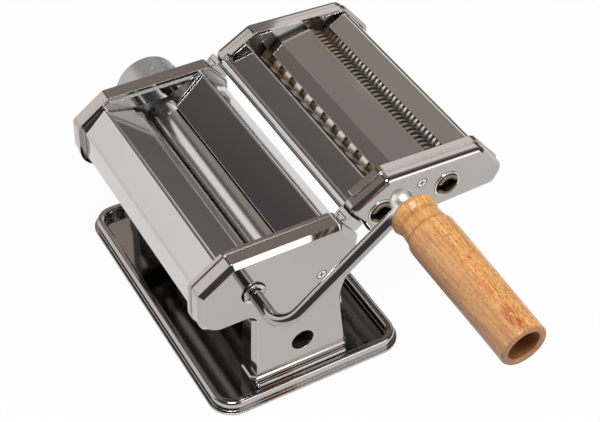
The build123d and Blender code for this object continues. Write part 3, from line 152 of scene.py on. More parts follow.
class Finish:
    """A node tree for a material or the world."""

    def __init__(self, owner):
        owner.use_nodes = True
        self.owner = owner
        self.nodes = owner.node_tree.nodes
        self.links = owner.node_tree.links
        self.nodes.clear()

    def node(self, kind, settings=None, sockets=None, out=0):
        """Any node: its type, then its settings, then the values or links of its sockets."""
        made = self.nodes.new(kind)
        for name, setting in (settings or {}).items():
            if name == "stops":
                self.set_stops(made.color_ramp, setting)
            else:
                setattr(made, name, setting)
        for key, value in (sockets or {}).items():
            if isinstance(value, Value):
                self.links.new(value.socket, made.inputs[key])
            else:
                made.inputs[key].default_value = value
        return Value(self, made.outputs[out]) if made.outputs else made

    def set_stops(self, ramp, stops):
        while len(ramp.elements) < len(stops):
            ramp.elements.new(1.0)
        for element, (position, shade) in zip(ramp.elements, stops):
            element.position = position
            element.color = (shade, shade, shade, 1)

    def place(self):
        """Where a point is in the model's own frame, in metres."""
        return self.node("ShaderNodeTexCoord", out="Object")

    def parts(self, vector):
        split = self.node("ShaderNodeSeparateXYZ", None, {0: vector})
        return [Value(self, output) for output in split.socket.node.outputs]

    def joined(self, x, y, z):
        return self.node("ShaderNodeCombineXYZ", None, {0: x, 1: y, 2: z})

    def vectors(self, operation, first, second, out=0):
        """Vector maths, whose output is a vector, or a number with out="Value"."""
        settings = {"operation": operation}
        return self.node("ShaderNodeVectorMath", settings, {0: first, 1: second}, out)

    def lesser(self, first, second):
        return self.node("ShaderNodeMath", {"operation": "MINIMUM"}, {0: first, 1: second})

    def noise(self, vector, scale, detail=2.0, roughness=0.5):
        sockets = {"Vector": vector, "Scale": scale, "Detail": detail, "Roughness": roughness}
        return self.node("ShaderNodeTexNoise", None, sockets)

    def drawn_out(self, vector, stretch, scale, detail=2.0, roughness=0.5):
        """Noise that is long wherever the stretch is small, such as fibres and scratches."""
        return self.noise(self.vectors("MULTIPLY", vector, stretch), scale, detail, roughness)

    def ramp(self, value, stops):
        return self.node("ShaderNodeValToRGB", {"stops": stops}, {0: value})

    def blend(self, factor, first, second):
        """Mixes two colours."""
        first = first if isinstance(first, Value) else (*first, 1)
        second = second if isinstance(second, Value) else (*second, 1)
        sockets = {MIX_FACTOR: factor, MIX_FIRST: first, MIX_SECOND: second}
        return self.node("ShaderNodeMix", {"data_type": "RGBA"}, sockets, out=MIX_COLOUR)

    def rounded_edges(self, radius):
        """The surface's direction, turning gradually over each sharp edge."""
        return self.node("ShaderNodeBevel", {"samples": EDGE_SAMPLES}, {"Radius": radius})

    def on_edges(self, rounded):
        """1 on a sharp edge and 0 on a flat, from how far the two directions part."""
        flat = self.node("ShaderNodeNewGeometry", out="Normal")
        return self.ramp(1 - self.vectors("DOT_PRODUCT", rounded, flat, out="Value"), EDGE_STOPS)

    def bump(self, height, rounded, distance, strength):
        sockets = {"Height": height, "Distance": distance, "Strength": strength, "Normal": rounded}
        return self.node("ShaderNodeBump", None, sockets)

    def surface(self, sockets):
        shader = self.node("ShaderNodeBsdfPrincipled", None, sockets)
        self.node("ShaderNodeOutputMaterial", None, {"Surface": shader})
        return self.owner


# %% [markdown]
# A finish is made once and worn by all the nodes of that material. No real surface has one flat
# colour, so most finishes mix their tint with a darker or lighter one of its own kind.


# %% Finishes and their wearers
def finish_for(name):
    return Finish(bpy.data.materials.new(name))


def darker(tint, share):
    return tuple(channel * share for channel in tint)


def lighter(tint, share):
    return tuple(1 - (1 - channel) * share for channel in tint)


def wear(material, *names):
    """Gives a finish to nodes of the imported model."""
    for name in names:
        slots = nodes[name].data.materials
        slots.clear()
        slots.append(material)
    print(material.name, "on", len(names), "nodes")


# %% [markdown]
# The machine stands on a white sweep, so the floor is white to the camera and to the mirrors, and
# an ordinary matt surface to the light. A part of the matt floor stays in the mix, which keeps a
# soft shadow under the tray.

# %% Floor
FLOOR_SIZE = 12.0
FLOOR_DROP = 0.0003
FLOOR_WHITE = (0.86, 0.86, 0.86, 1)
GLOW_WHITE = (1, 1, 1, 1)
GLOW_SHARE = 0.95

half = FLOOR_SIZE / 2
floor_corners = [(-half, -half, 0), (half, -half, 0), (half, half, 0), (-half, half, 0)]
floor_mesh = bpy.data.meshes.new("studio_floor")
floor_mesh.from_pydata(floor_corners, [], [(0, 1, 2, 3)])
floor = put_in_scene("studio_floor", floor_mesh)
floor.location.z = -FLOOR_DROP


def white_floor():
    made = finish_for("white_sweep")
    path = made.node("ShaderNodeLightPath")
    rays = path.socket.node.outputs
    camera_ray = Value(made, rays["Is Camera Ray"])
    glossy_ray = Value(made, rays["Is Glossy Ray"])
    through_ray = Value(made, rays["Is Transmission Ray"])
    seen = camera_ray + glossy_ray + through_ray
    share = made.lesser(seen * GLOW_SHARE, GLOW_SHARE)
    matt = made.node("ShaderNodeBsdfDiffuse", None, {"Color": FLOOR_WHITE})
    glow = made.node("ShaderNodeEmission", None, {"Color": GLOW_WHITE, "Strength": 1.0})
    mixed = made.node("ShaderNodeMixShader", None, {0: share, 1: matt, 2: glow})
    made.node("ShaderNodeOutputMaterial", None, {"Surface": mixed})
    return made.owner


floor_mesh.materials.append(white_floor())
print("floor of", FLOOR_SIZE, "m")

# %% [markdown]
# Polished metal has no look of its own: it shows the room. In the photograph the wall behind on
# the left is white, so a large soft box stands there. Another wall in front on the right, with a
# brighter strip before it, lights the bevels and the feet. A smaller box behind on the right
# whitens the tops of the cutter's caps, and one above lights the wood. Each gets the brightness
# that its reflection has.

# %% Soft boxes
BODY_MIDDLE = Vector((0.02, -0.03, 0.09))
# The columns are name, place, width, height and brightness.
SOFT_BOXES = [
    ("left_wall", (-1.30, 1.20, 0.75), 1.7, 1.5, 0.8),
    ("front_wall", (0.95, -1.50, 0.95), 1.5, 1.9, 1.0),
    ("front_box", (0.74, -1.22, 1.10), 1.0, 0.36, 2.0),
    ("right_box", (1.07, 0.98, 1.15), 0.76, 0.44, 0.9),
    ("key_box", (-0.25, -0.45, 1.75), 0.5, 0.5, 29.0),
]


def soft_box(name, place, width, height, brightness):
    """A soft box that faces the machine and looks that bright in a mirror."""
    lamp = bpy.data.lights.new(name, "AREA")
    lamp.shape = "RECTANGLE"
    lamp.size = width
    lamp.size_y = height
    lamp.energy = brightness * math.pi * width * height
    made = put_in_scene(name, lamp)
    made.location = place
    made.rotation_euler = (BODY_MIDDLE - Vector(place)).to_track_quat("-Z", "Y").to_euler()
    print(name, "of", round(lamp.energy, 1), "W")


for box in SOFT_BOXES:
    soft_box(*box)

# %% [markdown]
# Behind on the right is a warm grey wall that fades into a dark room, and it gives the covers and
# the tray their brown. A dark doorway lies between it and the white wall on the left. The warm wall
# and the doorway belong to the world, where three ramps over the direction shape them: one
# sideways, one by height and one that keeps them behind the machine.

# %% Warm wall and dark room
ROOM_DARK = (0.085, 0.082, 0.086)
WALL_WARM = (0.42, 0.36, 0.325)
DOORWAY = [(0.31, 0.85), (0.345, 0.03), (0.39, 0.03)]
WALL_SIDEWAYS = [(0.45, 0.42), (0.545, 1.0), (0.70, 0.78), (0.9, 0.6)]
WALL_UPWARDS = [(0.2, 0.12), (0.42, 1.0), (0.84, 1.0), (0.97, 0.2)]
WALL_BEHIND = [(0.05, 0.0), (0.35, 1.0)]


def to_ramp(value):
    """Moves a range from -1 to 1 into the 0 to 1 of a ramp."""
    return value * 0.5 + 0.5


def studio_room():
    world = bpy.data.worlds.new("studio")
    bpy.context.scene.world = world
    made = Finish(world)
    x, y, z = made.parts(made.node("ShaderNodeTexCoord", out="Generated"))
    sideways = made.ramp(to_ramp(x), DOORWAY + WALL_SIDEWAYS)
    upwards = made.ramp(z, WALL_UPWARDS)
    behind = made.ramp(y, WALL_BEHIND)
    shade = made.blend(sideways * upwards * behind, ROOM_DARK, WALL_WARM)
    room = made.node("ShaderNodeBackground", None, {"Color": shade, "Strength": 1.0})
    made.node("ShaderNodeOutputWorld", None, {"Surface": room})
    print("room with a wall of", WALL_WARM)


studio_room()

# %% [markdown]
# The floor of the tray under the rollers gets painted shade: a darker colour that stands in for the
# shade and the dark reflection of the body above it. The shade is found from the place alone: low,
# inside the rim, and fading out towards the far end, where a patchy noise breaks its border.

# %% Painted shade under the body
# The colour of the painted shade on the tray's floor under the body.
UNDER_BODY_SHADE = (0.20, 0.187, 0.172)
SHADE_TOP = 0.005
SHADE_EDGE = 0.050
SHADE_FADE = 0.040
SHADE_PATCHES = 0.6
TRAY_INSIDE = (0.0582, 0.0908)


def painted_shade_under_body(made, place, patches):
    """Painted shade: 1 on the floor of the tray under the rollers, and 0 at its far end and on its
    rim.
    """
    x, y, z = made.parts(place)
    on_floor = made.ramp(z / SHADE_TOP, [(0.4, 1.0), (0.9, 0.0)])
    for axis, reach in zip((x, y), TRAY_INSIDE):
        on_floor = on_floor * made.ramp(axis * axis / reach**2, [(0.99, 1.0), (1.0, 0.0)])
    from_end = (SHADE_EDGE - y) / SHADE_FADE + patches * SHADE_PATCHES - SHADE_PATCHES / 2
    return on_floor * made.ramp(from_end, [(0.1, 0.0), (0.9, 1.0)])


# %% [markdown]
# The body and the cutter are pressed from mirror-polished stainless sheet. A perfect mirror looks
# like computer glass, so the sheet gets a faint waviness, hairline scratches, and wiped-over
# patches where it is a little less bright.

# %% Mirror sheet
SHEET_EDGE = 0.0006
SHEET_SHADE = 0.9
# A lighter colour for edges, partly wear and partly painted highlight.
EDGE_WEAR_AND_HIGHLIGHT = (0.80, 0.79, 0.78)
EDGE_SHARE = 0.6
EDGE_DULL = 0.3
SMEAR_SCALE = 26.0
SMEAR_DULL = 0.03
GRAIN_SCALE = 900.0
HAIR_SCALE = 2400.0
HAIR_STRETCH = (1.0, 0.03, 1.0)
SCRATCH_DULL = 0.015
WAVE_SCALE = 14.0
WAVE_HEIGHT = 0.0006


def mirror_sheet(name, tint, dull, waves, shade_under_body=False):
    made = finish_for(name)
    place = made.place()
    rounded = made.rounded_edges(SHEET_EDGE)
    edge_mask = made.on_edges(rounded)
    cloud = made.noise(place, SMEAR_SCALE, detail=4.0, roughness=0.6)
    smear = made.ramp(cloud, [(0.42, 0.0), (0.72, 1.0)])
    fine = made.noise(place, GRAIN_SCALE)
    hairs = made.drawn_out(place, HAIR_STRETCH, HAIR_SCALE, roughness=0.7)
    scratched = dull + smear * SMEAR_DULL + fine * SCRATCH_DULL + hairs * SCRATCH_DULL
    wave = made.noise(place, WAVE_SCALE, detail=1.0)
    sheet = made.blend(cloud, tint, darker(tint, SHEET_SHADE))
    if shade_under_body:
        # Painted shade under the body darkens the tray's floor under the rollers.
        sheet = made.blend(painted_shade_under_body(made, place, cloud), sheet, UNDER_BODY_SHADE)
    return made.surface(
        {
            # Lighter edges: partly wear, partly painted highlight.
            "Base Color": made.blend(edge_mask * EDGE_SHARE, sheet, EDGE_WEAR_AND_HIGHLIGHT),
            "Metallic": 1.0,
            "Roughness": scratched + edge_mask * EDGE_DULL,
            "Normal": made.bump(wave, rounded, WAVE_HEIGHT, waves),
        }
    )


# %% [markdown]
# The side pressings are the same steel as the bent covers, painted a little darker and warmer:
# painted shade and a painted reflection of a warm surface in front. The tray is of thicker sheet
# with a plainer polish, so it is duller and more wavy.

# %% Sheets of the machine
# The side tint is the cover steel made darker and warmer: painted shade and a painted warm
# reflection.
SIDE_SHADED_TINT = (0.47, 0.435, 0.415)
COVER_TINT = (0.56, 0.55, 0.54)
TRAY_TINT = (0.49, 0.465, 0.44)

shaded_side_sheet = mirror_sheet("polished_side_sheet", SIDE_SHADED_TINT, dull=0.045, waves=0.35)
cover_sheet = mirror_sheet("polished_cover_sheet", COVER_TINT, dull=0.045, waves=0.35)
# The tray gets painted shade under the rollers.
tray_sheet = mirror_sheet("polished_tray", TRAY_TINT, dull=0.06, waves=0.5, shade_under_body=True)
wear(shaded_side_sheet, "near_side_panel", "far_side_panel", "cutter_near_cap", "cutter_far_cap")
wear(
    cover_sheet,
    "front_cover",
    "rear_cover",
    "near_feed_cheek",
    "far_feed_cheek",
    "cutter_left_cover",
    "cutter_centre_cover",
    "cutter_right_cover",
)
wear(tray_sheet, "base_tray")

# %% [markdown]
# The crank is a bent chromed bar. Its elbow is forged and rougher, so it spreads a highlight, and a
# near-white colour there adds a painted highlight; the bar is bright elsewhere. The roughness and
# that colour therefore depend on the distance to the elbow.

# %% Crank rod
ELBOW = (0.03535, -0.12, 0.15151)
ELBOW_REACH = 0.014
CHROME = (0.41, 0.40, 0.39)
# Near-white colour of the painted highlight on the elbow.
ELBOW_HIGHLIGHT = (0.94, 0.93, 0.92)
CHROME_DULL = 0.06
ELBOW_DULL = 0.34
PITTED_DULL = 0.03
ROD_EDGE_DULL = 0.08


def chromed_rod():
    made = finish_for("chromed_rod")
    place = made.place()
    rounded = made.rounded_edges(SHEET_EDGE)
    edge_mask = made.on_edges(rounded)
    away = made.vectors("DISTANCE", place, ELBOW, out="Value")
    near_elbow = made.ramp(away / ELBOW_REACH, [(0.6, 1.0), (1.0, 0.0)])
    cloud = made.noise(place, scale=60.0, detail=3.0, roughness=0.6)
    pitted = made.noise(place, scale=1300.0)
    chrome = made.blend(cloud, CHROME, darker(CHROME, SHEET_SHADE))
    dull = CHROME_DULL + near_elbow * ELBOW_DULL + pitted * PITTED_DULL
    return made.surface(
        {
            # A painted highlight: near-white colour round the elbow.
            "Base Color": made.blend(near_elbow, chrome, ELBOW_HIGHLIGHT),
            "Metallic": 1.0,
            "Roughness": dull + edge_mask * ROD_EDGE_DULL,
            "Normal": made.bump(pitted, rounded, distance=0.00004, strength=0.4),
        }
    )


wear(chromed_rod(), "crank_rod")

# %% [markdown]
# The dough rollers are ground on a lathe. The grinding leaves fine rings round each roller, which
# spread a highlight along its length. Rings are noise that changes fast along Y and slowly around.

# %% Ground rollers
ROLLER_TINT = (0.64, 0.63, 0.62)
ROLLER_EDGE = 0.0004
ROLLER_SHADE = 0.8
GRINDING_STRETCH = (0.02, 1.0, 0.02)
GRINDING_SCALE = 2600.0
GRINDING_SHARE = 0.6
GRINDING_DULL = 0.08


def ground_steel(name, tint, dull):
    made = finish_for(name)
    place = made.place()
    rings = made.drawn_out(place, GRINDING_STRETCH, GRINDING_SCALE, detail=3.0, roughness=0.7)
    cloud = made.noise(place, scale=60.0, detail=3.0)
    rounded = made.rounded_edges(ROLLER_EDGE)
    edge_mask = made.on_edges(rounded)
    shade = rings * GRINDING_SHARE + cloud * (1 - GRINDING_SHARE)
    ground = made.blend(shade, tint, darker(tint, ROLLER_SHADE))
    return made.surface(
        {
            # Lighter edges: partly wear, partly painted highlight.
            "Base Color": made.blend(edge_mask * EDGE_SHARE, ground, EDGE_WEAR_AND_HIGHLIGHT),
            "Metallic": 1.0,
            "Roughness": dull + rings * GRINDING_DULL,
            "Normal": made.bump(rings, rounded, distance=0.00003, strength=0.4),
        }
    )


wear(ground_steel("ground_roller", ROLLER_TINT, dull=0.15), "fixed_roller", "adjustable_roller")

# %% [markdown]
# On a cutting roller the grooves are darker than the ring tops: painted shade, and in most of them
# old flour and oil as well. The hollow end that takes the crank is darkened with painted shade too.
# The distance from the roller's axis tells a ring top from a groove floor and from the end. Towards
# the far end the rings turn brown.

# %% Cutting rollers
RING_R = 0.0092
GROOVE_R = 0.0072
RING_EDGE = 0.00015
FAR_RING_BROWN = (0.62, 0.44, 0.22)
BROWN_START = 0.02
BROWN_REACH = 0.05
# Painted shade inside the hollow end that takes the crank.
HOLLOW_END_SHADE = (0.13, 0.105, 0.08)
CUT_GRAIN = (1.0, 0.1, 1.0)
CUT_DULL = 0.36
CUT_DULLING = 0.1


def middle_of(node):
    low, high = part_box(node)
    return (low + high) / 2


def from_axis(x, z, middle):
    """How far a point is from the axis along Y through that middle."""
    across = x - middle.x
    up = z - middle.z
    return (across * across + up * up) ** 0.5


def cutting_steel(node, groove, ring):
    made = finish_for(node + "_steel")
    place = made.place()
    x, y, z = made.parts(place)
    radius = from_axis(x, z, middle_of(node))
    depth = (radius - GROOVE_R) / (RING_R - GROOVE_R)
    top = made.ramp(depth, [(0.1, 0.0), (0.95, 1.0)])
    hollow_shade = made.ramp(radius / GROOVE_R, [(0.8, 1.0), (0.9, 0.0)])
    far_brown = made.ramp((y - BROWN_START) / BROWN_REACH, [(0.0, 0.0), (1.0, 0.8)])
    grain = made.drawn_out(place, CUT_GRAIN, scale=1800.0)
    rounded = made.rounded_edges(RING_EDGE)
    # The groove colour is painted shade, with old flour and oil in the oily ones.
    steel = made.blend(top, groove, made.blend(far_brown, ring, FAR_RING_BROWN))
    return made.surface(
        {
            # Painted shade darkens the hollow end.
            "Base Color": made.blend(hollow_shade, steel, HOLLOW_END_SHADE),
            "Metallic": 1.0,
            "Roughness": CUT_DULL + grain * CUT_DULLING,
            "Normal": made.bump(grain, rounded, distance=0.00004, strength=0.4),
        }
    )


# %% [markdown]
# The four cutting rollers differ in the colours of their grooves and ring tops. In the fine pair
# the driving roller has the darkest ring tops, and the driven one beside it has the lightest
# grooves.

# %% Grooves and ring tops of the cutting rollers
RING_TOP = (0.92, 0.90, 0.87)
RING_DARKER = (0.40, 0.37, 0.34)
# Groove colours are painted shade; the oily one also holds old flour and oil.
OILY_SHADED_GROOVE = (0.30, 0.24, 0.165)
CLEAN_SHADED_GROOVE = (0.50, 0.48, 0.46)
CUTTING_ROLLERS = {
    "wide_driving_cutter": (OILY_SHADED_GROOVE, RING_TOP),
    "wide_driven_cutter": (OILY_SHADED_GROOVE, RING_TOP),
    "fine_driving_cutter": (OILY_SHADED_GROOVE, RING_DARKER),
    "fine_driven_cutter": (CLEAN_SHADED_GROOVE, RING_TOP),
}
for node, (groove, ring) in CUTTING_ROLLERS.items():
    wear(cutting_steel(node, groove, ring), node)

# %% [markdown]
# The handle is turned from a pale hardwood under warm lacquer. It leans a little, so its points are
# first turned until its axis lies along Y, with the elbow as their start. The grain then runs along
# Y too. Its widest bands are growth rings, which circle the heart of the tree outside the handle.

# %% Growth bands of the handle
HANDLE_LEAN = math.radians(-3.0)
TREE_HEART = (-0.021, 0.034)
BEND_STRETCH = (1.0, 0.35, 1.0)
BEND_SCALE = 38.0
BEND_REACH = 0.012
BAND_SCALE = 420.0
BAND_DRIFT = 0.02


def along_handle(made):
    """Where a point is from the elbow, with the handle's axis along Y."""
    centred = made.vectors("SUBTRACT", made.place(), ELBOW)
    turn = {"rotation_type": "X_AXIS"}
    return made.node("ShaderNodeVectorRotate", turn, {"Vector": centred, "Angle": HANDLE_LEAN})


def growth_bands(made, local):
    """1 in the darker part of each growth ring."""
    x, y, z = made.parts(local)
    bend = made.drawn_out(local, BEND_STRETCH, BEND_SCALE) * BEND_REACH
    tree_x = x - TREE_HEART[0] + bend
    tree_z = z - TREE_HEART[1] + bend
    rings = (tree_x * tree_x + tree_z * tree_z) ** 0.5
    bands = made.noise(made.joined(rings, y * BAND_DRIFT, 0.0), BAND_SCALE, roughness=0.6)
    return made.ramp(bands, [(0.36, 0.0), (0.66, 1.0)])


# %% [markdown]
# Use has marked the wood. Orange marks run along one line on its upper side, and near the end a red
# stain has soaked into the fibres. Both are an even shape times a streaky noise, which breaks it up
# as the fibres do.

# %% Marks and stain
MARKS_SIDE = 0.27
MARKS_WIDTH = 0.2
MARKS_ALONG = [(0.4, 0.0), (0.6, 1.0), (0.85, 1.0), (0.95, 0.0)]
MARKS_STRETCH = (1.0, 0.5, 1.0)
STAIN_SIDE = 0.3
STAIN_WIDTH = 0.34
STAIN_ALONG = 0.0965
STAIN_LENGTH = 0.0125
SHORT_FIBRES = (1.0, 0.3, 1.0)
SOAKED_SHARE = 0.8
NEAR_SHARE = 0.2


def orange_marks(made, local, sideways, along):
    off_line = (sideways - MARKS_SIDE) / MARKS_WIDTH
    on_line = made.ramp(off_line * off_line, [(0.1, 1.0), (1.0, 0.0)])
    streaky = made.drawn_out(local, MARKS_STRETCH, scale=520.0, detail=3.0, roughness=0.7)
    marks = made.ramp(streaky, [(0.47, 0.0), (0.58, 1.0)])
    return on_line * made.ramp(along, MARKS_ALONG) * marks


def red_stain(made, local, sideways, y):
    lengthwise = (y + STAIN_ALONG) / STAIN_LENGTH
    beside = (sideways - STAIN_SIDE) / STAIN_WIDTH
    near = made.ramp(lengthwise * lengthwise + beside * beside, [(0.2, 1.0), (1.0, 0.0)])
    soaked = made.drawn_out(local, SHORT_FIBRES, scale=620.0, detail=4.0, roughness=0.7)
    blot = soaked * SOAKED_SHARE + near * NEAR_SHARE
    return near * made.ramp(blot, [(0.47, 0.0), (0.66, 1.0)])


# %% [markdown]
# The lathe leaves its own traces: paler edges, and end grain round the pocket, which drinks more
# lacquer and turns darker. The creases in the neck are darkened with painted shade, and painted
# shade makes the pocket itself darkest.

# %% Traces of the lathe and painted shade
WOOD_PALE = (0.92, 0.50, 0.185)
WOOD_DARK = (0.26, 0.085, 0.022)
WOOD_END = (0.30, 0.12, 0.06)
CREASES = (0.0141, 0.0227)
CREASE_WIDTH = 0.0016
HANDLE_END = 0.1075
END_DEPTH = 0.0015
POCKET_R = 0.0098
WORN_SHARE = 0.4


def lathe_and_shade_layers(made, x, y, z, edge_mask):
    """Pairs of where a layer lies and its colour, from the lowest up."""
    layers = []
    # Painted shade in the creases of the neck.
    for crease in CREASES:
        beyond = (y + crease) / CREASE_WIDTH
        layers.append((made.ramp(beyond * beyond, [(0.0, 0.4), (1.0, 0.0)]), WOOD_DARK))
    layers.append((edge_mask * WORN_SHARE, WOOD_PALE))
    layers.append((made.ramp((y + HANDLE_END) / END_DEPTH, [(0.1, 0.65), (1.0, 0.0)]), WOOD_END))
    # Painted shade darkens the pocket.
    radius = (x * x + z * z) ** 0.5
    layers.append((made.ramp(radius / POCKET_R, [(0.965, 0.75), (0.99, 0.0)]), WOOD_DARK))
    return layers


# %% [markdown]
# The finished wood is a stack of layers on the growth bands: duller heartwood on one side, fine
# streaks, short pores, a flank darkened with painted shade, the marks and the traces of the lathe,
# some of them painted shade. A thin coat of lacquer lies over all of them, and the pores and
# streaks dent it.

# %% Wooden handle
HANDLE_R = 0.014
HANDLE_EDGE = 0.0005
LENGTHS_PER_M = 10.0
WANDER_REACH = 0.3
WANDER_SHIFT = 0.35
GRAIN_ACROSS = (0.87, 0.49)
UPPER_FADE = 0.004
LONG_FIBRES = (1.0, 0.05, 1.0)
HEART_SHARE = 0.5
PORE_SHARE = 0.35
STAIN_SHARE = 0.9
WOOD_ROUGH = 0.36
FIBRE_ROUGH = 0.12
WORN_ROUGH = 0.1
PORE_DEPTH = 0.7
STREAK_DEPTH = 0.3
WOOD_MIDDLE = (0.78, 0.36, 0.10)
WOOD_DULL = (0.62, 0.325, 0.165)
WOOD_ORANGE = (0.66, 0.15, 0.025)
WOOD_RED = (0.40, 0.05, 0.012)


def lacquered_wood():
    made = finish_for("lacquered_wood")
    local = along_handle(made)
    x, y, z = made.parts(local)
    along = 0 - y * LENGTHS_PER_M
    sideways = (x * GRAIN_ACROSS[0] + z * GRAIN_ACROSS[1]) / HANDLE_R
    past_neck = made.ramp(along, [(0.2, 0.0), (0.35, 1.0)])
    upper = made.ramp(0 - z / UPPER_FADE, [(0.0, 1.0), (1.0, 0.0)])
    wander = made.drawn_out(local, SHORT_FIBRES, scale=120.0, detail=3.0)
    border = sideways * 0.5 + wander * WANDER_REACH + WANDER_SHIFT
    heart = past_neck * made.ramp(border, [(0.5, 1.0), (0.68, 0.0)])
    streaks = made.drawn_out(local, LONG_FIBRES, scale=900.0, detail=3.0, roughness=0.6)
    pores = made.drawn_out(local, SHORT_FIBRES, scale=1700.0, detail=1.0)
    pore = made.ramp(pores, [(0.55, 0.0), (0.63, 1.0)])
    pore_share = PORE_SHARE + past_neck * PORE_SHARE - heart * PORE_SHARE
    rounded = made.rounded_edges(HANDLE_EDGE)
    edge_mask = made.on_edges(rounded)
    layers = [
        (heart * HEART_SHARE, WOOD_DULL),
        (made.ramp(streaks, [(0.43, 0.0), (0.72, 0.6)]), WOOD_DARK),
        (pore * pore_share, WOOD_DARK),
        # Painted shade: one flank of the handle is darkened.
        (made.ramp(to_ramp(sideways), [(0.04, 0.7), (0.24, 0.0)]), WOOD_DARK),
        (orange_marks(made, local, sideways, along) * upper * STAIN_SHARE, WOOD_ORANGE),
        (red_stain(made, local, sideways, y) * upper * STAIN_SHARE, WOOD_RED),
    ]
    wood = made.blend(growth_bands(made, local), WOOD_PALE, WOOD_MIDDLE)
    for share, colour in layers + lathe_and_shade_layers(made, x, y, z, edge_mask):
        wood = made.blend(share, wood, colour)
    rough = WOOD_ROUGH + streaks * FIBRE_ROUGH + pore * FIBRE_ROUGH
    height = 1 - pore * PORE_DEPTH - streaks * STREAK_DEPTH
    return made.surface(
        {
            "Base Color": wood,
            "Roughness": rough + edge_mask * WORN_ROUGH,
            "Coat Weight": 0.25,
            "Coat Roughness": 0.22,
            "Normal": made.bump(height, rounded, distance=0.00016, strength=0.6),
        }
    )


wear(lacquered_wood(), "wooden_handle")

# %% [markdown]
# The dial is cast aluminium with a satin skin, so it has a soft sheen and a fine grain. The plates,
# rods and rails behind the sheets are plain steel with the marks of rolling. One function makes all
# such metals, and the stretch of its grain tells cast from rolled and turned.

# %% Satin metals
SATIN_EDGE = 0.0004
SATIN_SHADE = 0.78
SATIN_LIGHT = 0.6
GRAIN_SHARE = 0.5
GRAIN_DULL = 0.14
EDGE_SHINE = 0.06
EVEN_GRAIN = (1.0, 1.0, 1.0)
ROLLED_GRAIN = (1.0, 0.2, 1.0)
TURNED_GRAIN = (0.1, 1.0, 0.1)


def satin_metal(name, tint, dull, grain_scale, stretch=EVEN_GRAIN, metal=1.0):
    made = finish_for(name)
    rounded = made.rounded_edges(SATIN_EDGE)
    edge_mask = made.on_edges(rounded)
    place = made.vectors("MULTIPLY", made.place(), stretch)
    grain = made.noise(place, grain_scale, detail=3.0, roughness=0.6)
    cloud = made.noise(place, scale=45.0, detail=3.0)
    shade = grain * GRAIN_SHARE + cloud * (1 - GRAIN_SHARE)
    skin = made.blend(shade, tint, darker(tint, SATIN_SHADE))
    return made.surface(
        {
            "Base Color": made.blend(edge_mask * EDGE_SHARE, skin, lighter(tint, SATIN_LIGHT)),
            "Metallic": metal,
            "Roughness": dull + grain * GRAIN_DULL - edge_mask * EDGE_SHINE,
            "Normal": made.bump(grain, rounded, distance=0.00006, strength=0.5),
        }
    )


DIAL_TINT = (0.55, 0.55, 0.555)
dial_metal = satin_metal("satin_dial", DIAL_TINT, dull=0.34, grain_scale=1500.0, metal=0.8)
wear(dial_metal, "regulator_knob")

# %% [markdown]
# The hidden works are steel and brass. They show through the slots and from behind, so each kind
# gets its own tint and grain.

# %% Hidden works
ROLLED_TINT = (0.56, 0.55, 0.54)
SCREW_TINT = (0.50, 0.46, 0.40)
GEAR_TINT = (0.42, 0.41, 0.40)
BRASS_TINT = (0.78, 0.58, 0.27)

wear(
    satin_metal("rolled_steel", ROLLED_TINT, dull=0.22, grain_scale=700.0, stretch=ROLLED_GRAIN),
    "near_inner_plate",
    "far_inner_plate",
    "cutter_near_plate",
    "cutter_far_plate",
    "rear_tie_rod",
    "front_tie_rod",
    "top_tie_rod",
    "cutter_middle_tie_rod",
    "cutter_right_tie_rod",
    "near_cutter_rail",
    "far_cutter_rail",
    "near_cutter_hook",
    "far_cutter_hook",
    "regulator_shaft",
    "stop_pin",
)
wear(
    satin_metal("bright_screws", SCREW_TINT, dull=0.2, grain_scale=1200.0),
    "foot_screws",
    "scraper_screws",
    "knob_screw",
    "spring_washer",
    "handle_washer",
)
wear(
    satin_metal("cut_gear_steel", GEAR_TINT, dull=0.3, grain_scale=900.0, stretch=CUT_GRAIN),
    "fixed_roller_gear",
    "adjustable_roller_gear",
    "wide_driving_gear",
    "wide_driven_gear",
    "fine_driving_gear",
    "fine_driven_gear",
)
wear(
    satin_metal("turned_brass", BRASS_TINT, dull=0.24, grain_scale=1400.0, stretch=TURNED_GRAIN),
    "near_roller_bush",
    "far_roller_bush",
    "regulator_bush",
    "socket_bushes",
    "cutter_small_bushes",
)

# %% [markdown]
# The screws in the polished faces have bright heads. The cross and the rim of each are painted
# near-black as painted shade, which makes them readable. Both screws of a pair lie on one axis, so
# the distance from it finds the rim, and the distance from the nearest head finds the cross.

# %% Cross-head screws
MM_PER_M = 1000
HEAD_BRIGHT = (0.86, 0.80, 0.70)
# Near-black painted shade for the cross and the rim of each head.
HEAD_RECESS_SHADE = (0.04, 0.035, 0.03)
HEAD_EDGE = 0.0002
HEAD_DULL = 0.3
HEAD_DULLING = 0.12
CROSS_DEPTH = 0.0007


def cross_head(node):
    low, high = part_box(node)
    head_radius = (high.x - low.x) / 2
    made = finish_for(node + "_steel")
    place = made.place()
    x, y, z = made.parts(place)
    radius = from_axis(x, z, middle_of(node))
    rim = made.ramp(radius / head_radius, [(0.78, 0.0), (0.86, 1.0)])
    inwards = made.lesser(y - low.y, high.y - y)
    cross = made.ramp(inwards / CROSS_DEPTH, [(0.2, 0.0), (0.6, 1.0)])
    grain = made.noise(place, scale=1200.0, detail=3.0, roughness=0.6)
    rounded = made.rounded_edges(HEAD_EDGE)
    print(node, "with heads of radius", round(head_radius * MM_PER_M, 2), "mm")
    return made.surface(
        {
            # Painted shade in the cross and round the rim.
            "Base Color": made.blend(rim + cross, HEAD_BRIGHT, HEAD_RECESS_SHADE),
            "Metallic": 1.0,
            "Roughness": HEAD_DULL + grain * HEAD_DULLING,
            "Normal": made.bump(grain, rounded, distance=0.00005, strength=0.4),
        }
    )


for node in ("panel_screws", "cutter_screws"):
    wear(cross_head(node), node)

# %% [markdown]
# The scrapers, combs and sliding blocks are moulded plastic. They are mostly hidden, and get a fine
# moulded grain and a slight change of shade.

